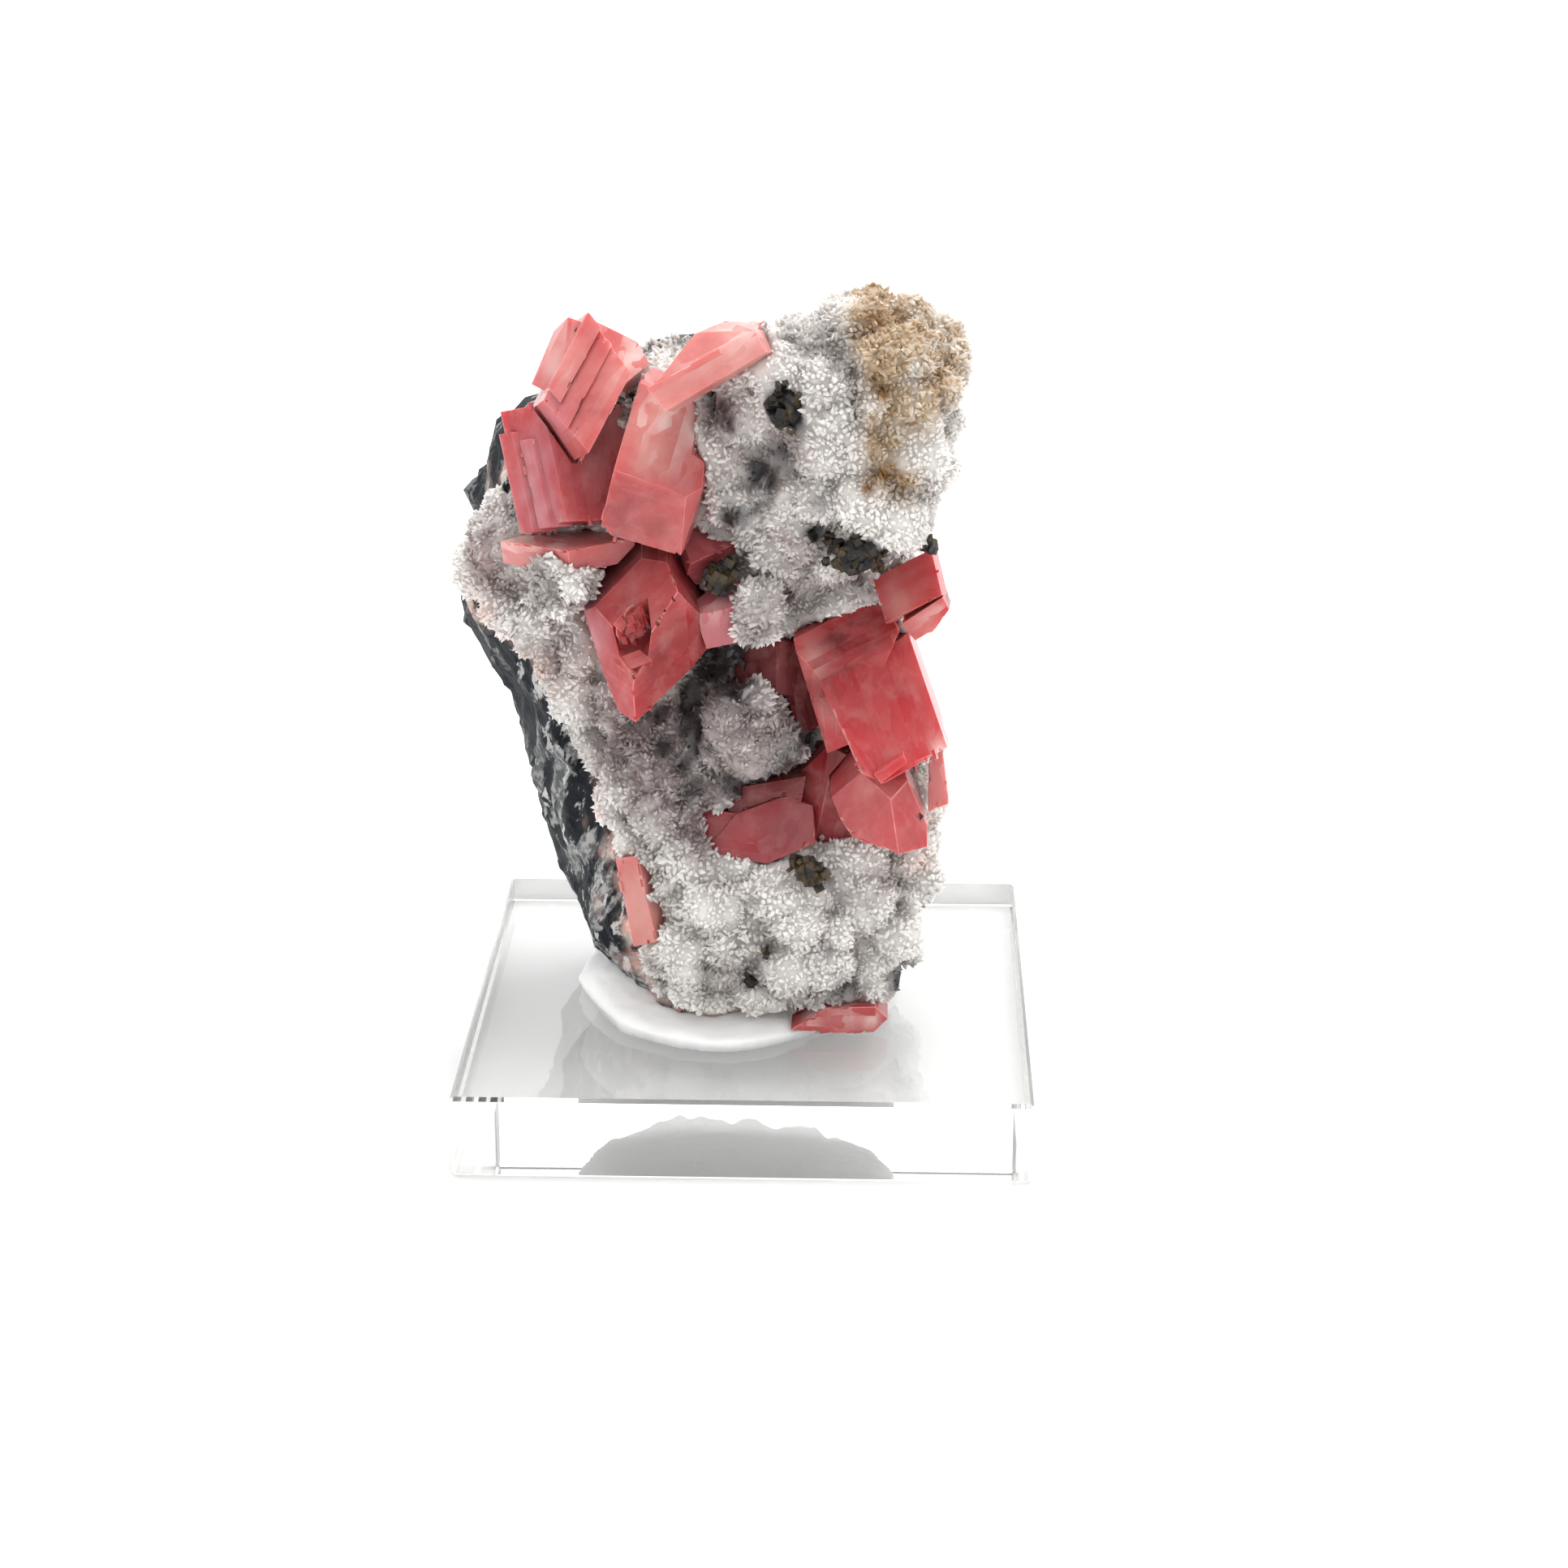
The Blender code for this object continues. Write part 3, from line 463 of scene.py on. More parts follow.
def quartz_needle_material():
    """Clear to milky needles, tan where iron has stained them."""
    mat, tree, shader = new_material(
        "quartz_needles", Roughness=0.25, IOR=1.54, Specular_IOR_Level=0.35, Transmission_Weight=0.1,
        Subsurface_Weight=0.5, Subsurface_Scale=0.0004, Subsurface_Radius=(1.0, 1.0, 1.0))
    feed(tree, shader, Base_Color=quartz_colour(tree, (0.90, 0.87, 0.83), (0.76, 0.725, 0.69)))
    return mat


def quartz_base_material():
    """The matted roots of the druse."""
    mat, tree, shader = new_material(
        "quartz_roots", Roughness=0.4, IOR=1.54, Subsurface_Weight=1.0, Subsurface_Scale=0.0024,
        Subsurface_Radius=(1.0, 1.0, 1.0))
    feed(tree, shader, Base_Color=quartz_colour(tree, (0.82, 0.785, 0.745), (0.60, 0.565, 0.53)),
         Normal=use_group(tree, GRIT, Scale=2600.0, Depth=0.00012).outputs[0])
    return mat


def rose_material():
    """Translucent rose crystal with cloudy depth and fine lines on its faces."""
    mat, tree, shader = new_material(
        "rose_crystal", Roughness=0.22, IOR=1.7, Specular_IOR_Level=0.08, Transmission_Weight=0.15,
        Subsurface_Weight=0.7, Subsurface_Scale=0.0012, Subsurface_Radius=(1.0, 0.30, 0.28))
    bands = use_group(tree, BANDS, Width=0.7, Step=0.000016)
    cloud = use_group(tree, MOTTLE, Scale=230.0, Low=0.36, High=0.66).outputs["Mask"]
    veil = use_group(tree, MOTTLE, Scale=620.0, Low=0.50, High=0.72).outputs["Mask"]
    rose = mix_colour(tree, cloud, (0.43, 0.010, 0.020), (0.56, 0.040, 0.050))
    salmon = mix_colour(tree, cloud, (0.62, 0.20, 0.175), (0.72, 0.36, 0.32))
    # pale: paler salmon, partly the crystal's own colour and partly painted light; deep: near-black red,
    # partly its own colour and partly painted shade
    body = mix_colour(tree, mark(tree, "pale"), rose, salmon)
    body = mix_colour(tree, mark(tree, "deep"), body, (0.10, 0.001, 0.004))
    body = mix_colour(tree, mark(tree, "violet"), body, (0.50, 0.18, 0.21))
    block = add_node(tree, "ShaderNodeMapRange", Value=bands.outputs["Value"], From_Min=0.38,
                     From_Max=0.50).outputs[0]
    milky = math_node(tree, "MULTIPLY", mark(tree, "milky"), block)
    body = mix_colour(tree, milky, body, (0.76, 0.54, 0.51))
    light = math_node(tree, "ADD", math_node(tree, "MULTIPLY", bands.outputs["Value"], 0.22),
                      math_node(tree, "MULTIPLY", veil, 0.22))
    light = math_node(tree, "MAXIMUM", light, math_node(tree, "MULTIPLY", bands.outputs["Crack"], 0.42))
    colour = mix_colour(tree, light, body, (0.64, 0.30, 0.28))
    feed(tree, shader, Base_Color=colour, Normal=bands.outputs["Normal"])
    return mat


def rose_edge_material():
    """Chipped, paler crystal along the edges."""
    mat, tree, shader = new_material(
        "rose_edge", Roughness=0.3, IOR=1.7, Subsurface_Weight=0.7, Subsurface_Scale=0.0008,
        Subsurface_Radius=(1.0, 0.45, 0.4))
    chips = use_group(tree, MOTTLE, Scale=900.0, Low=0.35, High=0.6).outputs["Mask"]
    colour = mix_colour(tree, chips, (0.48, 0.07, 0.07), (0.62, 0.25, 0.23))
    # deep: darker edges, partly the crystal's own colour and partly painted shade
    feed(tree, shader, Base_Color=mix_colour(tree, mark(tree, "deep"), colour, (0.26, 0.02, 0.03)))
    return mat


def rock_material():
    """Nearly black rock, streaked with grey and white, with a pale pink rim under the quartz."""
    mat, tree, shader = new_material("matrix_rock", Roughness=0.7, IOR=1.5, Specular_IOR_Level=0.25)
    pink = use_group(tree, MOTTLE, Scale=500.0, Low=0.42, High=0.55, Detail=6.0)
    fine = use_group(tree, MOTTLE, Scale=1300.0, Low=0.44, High=0.56, Detail=6.0)
    rim = math_node(tree, "MULTIPLY", mark(tree, "rim"), pink.outputs["Mask"])
    blush = mix_colour(tree, fine.outputs["Mask"], (0.80, 0.46, 0.40), (0.80, 0.70, 0.64))
    colour = mix_colour(tree, rim, rock_colour(tree), blush)
    colour = mix_colour(tree, mark(tree, "top"), colour, (0.62, 0.60, 0.58))
    feed(tree, shader, Base_Color=colour,
         Normal=use_group(tree, GRIT, Scale=1100.0, Depth=0.0004).outputs[0])
    return mat


def ore_material():
    """Glossy dark grains, from black to olive brown."""
    mat, tree, shader = new_material("ore", Roughness=0.35, IOR=1.6, Specular_IOR_Level=0.3)
    spots = use_group(tree, MOTTLE, Scale=900.0, Low=0.48, High=0.60).outputs["Mask"]
    colour = mix_colour(tree, spots, (0.004, 0.003, 0.003), (0.055, 0.035, 0.010))
    feed(tree, shader, Base_Color=colour,
         Normal=use_group(tree, GRIT, Scale=1500.0, Depth=0.0002).outputs[0])
    return mat


def putty_material():
    """White putty, faintly soiled in places."""
    mat, tree, shader = new_material(
        "putty", Roughness=0.5, Subsurface_Weight=0.6, Subsurface_Scale=0.003,
        Subsurface_Radius=(1.0, 1.0, 1.0))
    soil = use_group(tree, MOTTLE, Scale=220.0, Low=0.5, High=0.75).outputs["Mask"]
    colour = mix_colour(tree, soil, (0.985, 0.985, 0.98), (0.94, 0.94, 0.935))
    feed(tree, shader, Base_Color=colour,
         Normal=use_group(tree, GRIT, Scale=500.0, Depth=0.0002).outputs[0])
    return mat


def acrylic_material():
    """Clear cast acrylic: polished on the large faces and in front, sawn and frosted elsewhere."""
    mat, tree, shader = new_material("clear_acrylic", IOR=1.49, Transmission_Weight=1.0)
    low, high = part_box("acrylic_block")
    place = add_node(tree, "ShaderNodeTexCoord").outputs["Object"]
    split = add_node(tree, "ShaderNodeSeparateXYZ", Vector=place)
    reach = (high.x - low.x) / 2 - SAWN_DEPTH * MM
    wide = math_node(tree, "ABSOLUTE", split.outputs["X"])
    sawn = math_node(tree, "GREATER_THAN", math_node(tree, "MAXIMUM", wide, split.outputs["Y"]), reach)
    front = math_node(tree, "LESS_THAN", split.outputs["Y"], -reach)
    rough = math_node(tree, "MULTIPLY", sawn, SAWN_ROUGHER)
    rough = math_node(tree, "ADD", rough, math_node(tree, "MULTIPLY", front, FRONT_ROUGHER))
    feed(tree, shader, Roughness=math_node(tree, "ADD", rough, POLISHED),
         Base_Color=mix_colour(tree, sawn, (0.99, 0.995, 0.99), (0.985, 0.975, 0.93)))
    return mat


# ---------------------------------------------------------------- the quartz druse

STAINS = [                # x, z, reach and strength of the iron stain, in millimetres
    (8.0, 57.5, 1.3, 1.0), (9.2, 57.0, 1.6, 1.0), (11.0, 57.2, 1.8, 0.5), (13.2, 56.8, 1.9, 0.45),
    (14.4, 54.8, 1.7, 0.45), (8.6, 56.0, 1.1, 0.9), (9.4, 54.9, 1.5, 0.9), (14.9, 52.0, 1.6, 0.35),
    (10.4, 55.2, 1.7, 0.6), (13.2, 54.2, 1.8, 0.5), (8.9, 53.8, 1.2, 0.9), (9.6, 52.2, 1.4, 0.9),
    (11.2, 51.2, 1.6, 1.0), (12.9, 52.6, 1.3, 0.8), (9.0, 50.4, 1.1, 0.9), (9.2, 48.8, 1.2, 1.0),
    (9.4, 47.0, 1.3, 1.0), (10.9, 46.2, 1.1, 0.7),
]
RUST = [                  # the darkest brown spots within it
    (8.9, 54.7, 0.6, 0.5), (8.2, 57.3, 0.35, 0.9), (9.0, 56.9, 0.45, 1.0), (8.6, 53.6, 0.45, 1.0),
    (9.2, 52.6, 0.5, 1.2), (12.8, 53.3, 0.45, 0.9), (10.9, 50.6, 0.45, 0.8), (9.0, 47.2, 0.7, 1.1),
    (9.8, 46.9, 0.5, 1.2), (8.1, 46.3, 0.45, 0.9), (10.6, 46.0, 0.4, 0.8), (8.9, 50.0, 0.35, 0.7),
    (13.2, 54.2, 0.4, 0.7),
]
BARE_AND_SHADE = [                  # x, z, reach and strength of dark patches: bare rock showing through hollows, and painted shade in the gaps beside the crystals and cushions
    (-2.6, 50.6, 0.9, 1.2), (-1.6, 50.4, 0.8, 0.9), (-0.7, 49.3, 0.5, 0.9), (0.5, 46.5, 0.9, 1.2),
    (1.3, 45.9, 0.9, 1.2), (2.2, 48.0, 1.0, 1.0), (1.0, 44.6, 0.8, 1.1), (-0.1, 43.7, 0.6, 1.2),
    (3.4, 50.2, 0.6, 0.8), (7.1, 53.8, 0.5, 0.7), (5.0, 45.2, 0.7, 0.8), (4.7, 42.7, 0.7, 1.2),
    (9.4, 40.4, 0.9, 1.2), (5.6, 41.5, 0.5, 1.0), (0.4, 17.2, 0.6, 0.7), (0.6, 11.6, 0.8, 0.9),
    (1.5, 13.5, 0.4, 0.9), (5.7, 18.4, 0.6, 0.9), (6.8, 17.2, 0.7, 0.5), (-1.2, 49.9, 0.5, 0.6),
    (5.6, 13.7, 0.5, 0.6), (7.0, 10.2, 1.0, 0.7), (-4.4, 25.5, 0.7, 1.1), (-3.9, 23.4, 0.7, 1.1),
    (-6.4, 28.6, 0.6, 1.0), (-3.0, 27.5, 0.8, 1.0), (-13.2, 35.5, 0.4, 1.1), (-2.3, 31.9, 1.4, 1.6),
    (-0.6, 32.0, 1.2, 1.5), (-4.0, 29.8, 0.9, 1.6), (-4.1, 28.1, 0.8, 1.6), (-3.8, 26.7, 0.6, 1.3),
    (-1.0, 24.2, 1.1, 1.8), (1.0, 24.6, 0.9, 1.5), (3.1, 25.4, 1.3, 1.5), (3.5, 27.5, 0.8, 1.2),
    (-5.9, 26.6, 0.6, 1.4), (-6.0, 28.9, 0.5, 1.2), (-7.6, 29.2, 0.6, 1.0), (-14.4, 28.4, 0.9, 1.3),
    (-13.6, 26.4, 1.0, 1.4), (-12.9, 24.6, 1.0, 1.4), (-12.5, 22.8, 0.7, 1.3), (-11.9, 19.6, 0.7, 1.3),
    (-11.3, 17.4, 0.8, 1.4), (-10.9, 15.4, 0.8, 1.4), (-10.6, 13.4, 0.7, 1.4), (-10.2, 11.4, 0.7, 1.4),
    (-9.9, 9.6, 0.6, 1.3), (11.4, 8.4, 0.9, 1.8), (11.3, 9.6, 0.9, 1.8), (-1.0, 43.1, 0.8, 1.4),
    (7.4, 38.0, 0.9, 0.8),
]
BLUSH = [                 # pale pink beige quartz along its border with the rock
    (-18.8, 38.6, 1.8, 0.35), (-14.0, 31.6, 1.8, 0.30), (-18.7, 35.3, 1.0, 0.9), (-17.6, 32.6, 1.1, 1.0),
    (-16.6, 30.4, 1.0, 0.9), (-15.2, 31.6, 0.8, 0.6), (-11.6, 23.1, 0.8, 0.9), (-10.9, 21.8, 0.8, 1.0),
    (-9.7, 14.9, 0.6, 0.9), (-9.2, 11.8, 0.8, 1.0), (-9.0, 8.8, 0.9, 1.0), (12.2, 18.5, 0.8, 0.8),
    (12.6, 20.6, 0.7, 0.8), (-8.0, 9.5, 0.8, 0.5),
]
SHADE_PATCHES = [                 # painted shade: smoky grey where the druse lies in shade; a strength below 0 keeps a lump pale
    (-8.5, 27.0, 3.0, 0.85), (-5.5, 26.0, 2.8, 1.1), (-4.0, 29.0, 2.2, 1.0), (-2.6, 31.6, 1.8, 1.2),
    (0.5, 27.5, 3.8, 1.5), (0.6, 36.5, 1.8, 0.5), (4.6, 48.0, 3.4, 0.28), (-5.2, 22.8, 2.6, 0.9),
    (0.9, 47.0, 1.9, 0.9), (-1.8, 50.6, 1.6, 1.0), (2.8, 49.6, 1.2, 0.7), (3.4, 40.6, 1.9, 0.7),
    (-2.0, 45.6, 1.2, 0.5), (5.6, 54.0, 1.6, 0.35), (0.6, 12.0, 1.6, 0.35), (5.6, 13.6, 1.4, 0.35),
    (6.4, 17.6, 1.4, 0.4), (7.2, 10.4, 1.6, 0.4), (-3.5, 25.8, 1.5, -0.7), (-5.2, 30.6, 1.3, -0.7),
    (-5.0, 28.0, 0.8, 0.8), (-1.5, 27.6, 0.7, 0.9), (-1.0, 43.1, 1.1, 1.0), (7.1, 38.2, 1.8, 0.9),
    (2.3, 36.7, 1.3, 0.5), (4.0, 41.8, 1.6, 0.5), (-3.7, 21.3, 1.2, 0.8), (-2.9, 20.0, 0.8, 0.8),
    (-10.0, 29.1, 1.5, 0.5), (-12.3, 34.4, 1.5, 0.4), (-15.5, 33.3, 1.6, 0.4), (-17.6, 41.1, 1.4, 0.4),
    (12.9, 42.6, 1.4, 0.45), (-6.7, 11.3, 0.8, 0.7), (8.7, 17.0, 1.4, 0.35), (-18.9, 39.6, 2.2, 0.90),
    (-17.2, 37.6, 1.5, 0.60), (-14.0, 32.2, 1.8, 0.70), (-14.5, 40.6, 1.2, 0.6), (4.2, 30.0, 2.0, 0.9),
    (-1.2, 24.0, 1.6, 0.9), (8.5, 53.8, 1.2, 0.4),
]


def lump_rise(points):
    """Height of the druse's lumps over its mean surface, in millimetres."""
    return sum(depth * (lump_height(points, size, 11) - 1.0 + LUMP_LEVEL) for size, depth in LUMPS)


def patch_values(points, patches, seed):
    """Sum of soft round patches in the x-z plane, broken up by noise, kept from 0 to 1."""
    total = np.zeros(len(points))
    for x, z, reach, strength in patches:
        away = (points[:, 0] - x) ** 2 + (points[:, 2] - z) ** 2
        total += strength * np.exp(-away / reach ** 2)
    total *= 0.85 + 0.6 * soft_noise(points, 0.7, seed)
    return np.clip(total, 0.0, 1.0)


def mark_quartz(mesh, points, cushion):
    """Store where the quartz is stained, rusty, bare or shaded in a gap, in painted shade, pink, or in a
    hollow with painted shade; most marks in front only.
    """
    front = points[:, 1] < 0.0
    for name, patches, seed in (("stain", STAINS, 41), ("rust", RUST, 42), ("bare_and_shade", BARE_AND_SHADE, BARE_SEED)):
        set_attribute(mesh, name, patch_values(points, patches, seed) * front)
    # painted shade, held lower on the cushions
    painted_shade = patch_values(points, SHADE_PATCHES, 44) * front
    set_attribute(mesh, "painted_shade", np.minimum(painted_shade, CUSHION_SHADE_CAP) if cushion else painted_shade)
    set_attribute(mesh, "blush", patch_values(points, BLUSH, 45))
    # painted shade in the hollows: the deeper below the lumps, the darker
    deep = -lump_rise(points) + 0.4 * soft_noise(points, 0.9, 46)
    set_attribute(mesh, "hollow", np.clip(HOLLOW_SHADE * (deep - HOLLOW_START), 0.0, 0.8))


def smoothed(points, edges, rounds):
    """Move each vertex halfway to the mean of its neighbours and a little less far back, by turns."""
    count = np.bincount(edges.ravel(), minlength=len(points))[:, None]
    for turn in range(2 * rounds):
        total = np.zeros_like(points)
        for axis in range(3):
            total[:, axis] = (np.bincount(edges[:, 0], points[edges[:, 1], axis], len(points))
                              + np.bincount(edges[:, 1], points[edges[:, 0], axis], len(points)))
        share = -0.48 if turn % 2 else 0.5
        points = points + share * (total / count - points)
    return points


def even_grid(node, name, cell, rounds):
    """A node's form on an even grid of cells, and the smoothed places of its vertices."""
    obj = merged_copy(node, name)
    grid = obj.modifiers.new("grid", "REMESH")
    grid.mode = "VOXEL"
    grid.voxel_size = cell * MM
    keep_evaluated(obj)
    edges = np.empty(len(obj.data.edges) * 2, np.int32)
    obj.data.edges.foreach_get("vertices", edges)
    return obj, smoothed(vertex_array(obj.data), edges.reshape(-1, 2), rounds)


def druse_base(node, name, neighbours):
    """The surface under the needles: the node's form on an even grid, smoothed, then raised in lumps.

    Beside a crystal the lumps fade out and the surface swells to meet it."""
    base, points = even_grid(node, name, BASE_CELL, BASE_SMOOTHING)
    mesh = base.data
    store_vertices(mesh, points)
    normals = normal_array(mesh)
    lumps = lump_rise(points)
    grain = GRAIN[1] * soft_noise(points, GRAIN[0], 12)
    near = np.exp(-(nearest_distance(points, neighbours) / HUG_REACH) ** 2)
    swell = 0.0 if node == "quartz_crust" else CUSHION_SWELL
    rise = (lumps + grain - BASE_SINK + swell) * (1.0 - near) + HUG * near
    store_vertices(mesh, points + normals * rise[:, None])
    mark_quartz(mesh, points, node != "quartz_crust")
    shade(mesh, True)
    return base


def surface_spots(nodes, density, seed):
    """Random places all over the surfaces of some CAD nodes."""
    rng = np.random.default_rng(seed)
    found = []
    for node in nodes:
        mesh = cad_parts[node].data
        found.append(scatter(vertex_array(mesh), triangle_array(mesh), density, rng)[0])
    return np.concatenate(found)


def filled_cells(nodes):
    """Cells of a grid that the surfaces of some CAD nodes pass through, as whole numbers."""
    return np.unique(cell_keys(np.floor(surface_spots(nodes, 40.0, 3) / KEEP_OFF).astype(np.int64)))


def cell_keys(cells):
    """One whole number for each cell."""
    return (cells[:, 0] + 4096) * 2 ** 26 + (cells[:, 1] + 4096) * 2 ** 13 + cells[:, 2] + 4096


def scatter(points, triangles, density, rng):
    """Random places on triangles, as many to each as its area asks for; also which triangle."""
    a, b, c = (points[triangles[:, k]] for k in range(3))
    areas = 0.5 * np.linalg.norm(np.cross(b - a, c - a), axis=1)
    counts = rng.poisson(areas * density)
    owner = np.repeat(np.arange(len(triangles)), counts)
    u, v = rng.random((2, len(owner)))
    over = u + v > 1.0
    u, v = np.where(over, 1.0 - u, u), np.where(over, 1.0 - v, v)
    spots = a[owner] + (b - a)[owner] * u[:, None] + (c - a)[owner] * v[:, None]
    return spots, owner


def needle_sites(base, blocked, most, rng):
    """Roots and directions of needles, one to a small cell, clear of the neighbouring pieces."""
    points, triangles = vertex_array(base.data), triangle_array(base.data)
    normals = normal_array(base.data)
    spots, owner = scatter(points, triangles, ROOT_DENSITY, rng)
    out = unit(normals[triangles[owner]].mean(1))
    order = rng.permutation(len(spots))
    spots, out = spots[order], out[order]
    _, first = np.unique(cell_keys(np.floor(spots / NEEDLE_SPACING).astype(np.int64)), return_index=True)
    spots, out = spots[first], out[first]
    lean = TUFT_LEAN * noise_vector(spots, TUFT_SIZE, 21) + OWN_LEAN * rng.normal(size=spots.shape)
    lean[:, 2] += UP_LEAN
    aim = unit(out + lean)
    free = np.ones(len(spots), bool)
    for share in (0.35, 0.8):
        cells = np.floor((spots + aim * share) / KEEP_OFF).astype(np.int64)
        free &= ~np.isin(cell_keys(cells), blocked)
    free &= rng.random(len(spots)) > BARE_LOSS * patch_values(spots, BARE_AND_SHADE, BARE_SEED) * (spots[:, 1] < 0.0)
    spots, aim = spots[free], aim[free]
    keep = rng.permutation(len(spots))[:most]
    return spots[keep], aim[keep]


def needle_arrays(roots, aims, rng):
    """Six-sided prisms with a pyramid on top: a root ring, a shoulder ring and a tip for each."""
    count = len(roots)
    size = 0.5 + 0.5 * soft_noise(roots, 2.2, 31)
    size = np.clip(0.55 * size + 0.45 * rng.random(count), 0.0, 1.0)
    length = NEEDLE_LENGTH[0] + (NEEDLE_LENGTH[1] - NEEDLE_LENGTH[0]) * size
    radius = NEEDLE_RADIUS[0] + (NEEDLE_RADIUS[1] - NEEDLE_RADIUS[0]) * rng.random(count)
    helper = np.where(np.abs(aims[:, 2:]) < 0.8, [[0.0, 0.0, 1.0]], [[1.0, 0.0, 0.0]])
    across = unit(np.cross(aims, helper))
    up = np.cross(aims, across)
    turn = rng.random(count)[:, None] * 2.0 * math.pi
    angles = turn + np.arange(NEEDLE_SIDES)[None, :] * 2.0 * math.pi / NEEDLE_SIDES
    ring = np.cos(angles)[..., None] * across[:, None] + np.sin(angles)[..., None] * up[:, None]
    foot = roots - aims * NEEDLE_ROOT
    shoulder = roots + aims * (length - 1.6 * radius)[:, None]
    tip = roots + aims * length[:, None]
    low = foot[:, None] + ring * (radius * 1.1)[:, None, None]
    mid = shoulder[:, None] + ring * (radius * 0.85)[:, None, None]
    return np.concatenate([low, mid, tip[:, None]], axis=1)


def needle_piece(name, needles, mat):
    """Mesh of many needles from their vertex arrays: sides, tip faces and a closed foot."""
    count, each = needles.shape[:2]
    start = (np.arange(count) * each)[:, None, None]
    i = np.arange(NEEDLE_SIDES)
    j = (i + 1) % NEEDLE_SIDES
    sides = start + np.stack([i, j, j + NEEDLE_SIDES, i + NEEDLE_SIDES], axis=1)[None]
    tips = start + np.stack([i + NEEDLE_SIDES, j + NEEDLE_SIDES, np.full(NEEDLE_SIDES, each - 1)], 1)[None]
    feet = start[:, 0] + i[::-1][None]
    loops = np.concatenate([sides.reshape(count, -1), tips.reshape(count, -1), feet], axis=1).ravel()
    sizes = np.tile([4] * NEEDLE_SIDES + [3] * NEEDLE_SIDES + [NEEDLE_SIDES], count)
    mesh = bpy.data.meshes.new(name)
    mesh.vertices.add(count * each)
    mesh.loops.add(len(loops))
    mesh.polygons.add(len(sizes))
    mesh.vertices.foreach_set("co", (needles * MM).astype(np.float32).ravel())
    mesh.loops.foreach_set("vertex_index", loops.astype(np.int32))
    mesh.polygons.foreach_set("loop_start", np.concatenate([[0], np.cumsum(sizes)[:-1]]).astype(np.int32))
    mesh.update(calc_edges=True)
    shade(mesh, False)
    mark_quartz(mesh, needles.reshape(-1, 3), "cushion" in name)
    return finish_piece(link(name, mesh), materials=[mat])


def make_druse(node, most, blocked, neighbours, base_mat, needle_mat, seed):
    """The matted base of one quartz node and the needles that stand on it."""
    rng = np.random.default_rng(seed)
    base = druse_base(node, node + "_roots", neighbours)
    finish_piece(base, [node], [base_mat])
    roots, aims = needle_sites(base, blocked, most, rng)
    order = np.argsort(roots[:, 2])
    needles = needle_arrays(roots[order], aims[order], rng)
    for k, start in enumerate(range(0, len(needles), NEEDLES_A_PIECE)):
        needle_piece(f"{node}_needles_{k + 1}", needles[start:start + NEEDLES_A_PIECE], needle_mat)


# ---------------------------------------------------------------- crystals

def face_axes(corners, normal):
    """Longest edge of a face and the direction across it."""
    edges = [corners[k] - corners[k - 1] for k in range(len(corners))]
    along = max(edges, key=lambda edge: edge.length).normalized()
    return along, normal.cross(along)


def face_coordinates(bm):
    """UV map in millimetres: U along each face's longest edge, V across it, set apart face by face."""
    layer = bm.loops.layers.uv.new("face")
    for number, face in enumerate(bm.faces):
        corners = [v.co for v in face.verts]
        along, across = face_axes(corners, face.normal)
        for loop in face.loops:
            loop[layer].uv = (loop.vert.co.dot(along) / MM + 17.0 * number,
                              loop.vert.co.dot(across) / MM + 31.0 * number)


TINTS = {                 # pale share (partly painted light), deep share (partly painted shade) and violet share of each crystal's colour
    "rhodochrosite_crest": (0.42, 0.04, 0.05), "rhodochrosite_left_block": (0.05, 0.19, 0.1),
    "rhodochrosite_upper_slab": (0.20, 0.05, 0.1), "rhodochrosite_bar": (0.85, 0.06, 0.1),
    "rhodochrosite_middle_cluster": (0.05, 0.30, 0.0), "rhodochrosite_back_crystal": (0.0, 0.45, 0.2),
    "rhodochrosite_small_crystal": (0.30, 0.1, 0.8), "rhodochrosite_right_cluster": (0.04, 0.04, 0.0),
    "rhodochrosite_right_top": (0.10, 0.1, 0.0), "rhodochrosite_right_low": (0.14, 0.14, 0.15),
    "rhodochrosite_right_inner": (0.0, 0.6, 0.0), "rhodochrosite_right_edge": (0.7, 0.0, 0.2),
    "rhodochrosite_shelf": (0.6, 0.0, 0.2), "rhodochrosite_recess": (0.0, 0.95, 0.0),
    "rhodochrosite_blade": (0.05, 0.5, 0.2), "rhodochrosite_blade_back": (0.0, 0.85, 0.0),
    "rhodochrosite_low_slab": (0.9, 0.08, 0.0), "rhodochrosite_foot": (0.3, 0.1, 0.1),
}
GROWN = {                 # crystals that are grown by more or less than the rest
    "rhodochrosite_blade_back": 0.30, "rhodochrosite_right_inner": 0.25, "rhodochrosite_recess": 0.20,
    "rhodochrosite_bar": 0.0, "rhodochrosite_crest": 0.0, "rhodochrosite_foot": 0.0,
}
PALE_SPOTS = [            # x, z, reach and strength where a crystal is paler than its general colour: partly its own colour, partly painted light on lit faces
    (-12.3, 52.7, 0.8, 0.8), (-7.0, 50.2, 2.0, 1.3), (-4.6, 49.2, 1.6, 1.3), (-6.4, 47.8, 1.2, 0.9),
    (4.6, 33.0, 1.1, 0.7), (5.6, 29.8, 0.7, 0.8), (-16.0, 40.7, 1.2, 0.8), (3.3, 24.1, 0.7, 0.9),
    (-8.4, 53.4, 1.2, 0.7), (-1.0, 55.8, 1.4, 0.8), (12.6, 35.6, 1.0, 0.7), (8.6, 25.2, 1.2, 0.6),
    (10.6, 37.6, 1.6, 0.4), (-8.3, 39.4, 1.4, 0.4), (-7.8, 33.9, 0.8, 0.8), (-11.8, 54.6, 0.9, 0.5),
    (-14.0, 54.0, 1.2, 0.6), (10.4, 36.6, 0.8, 0.3),
]
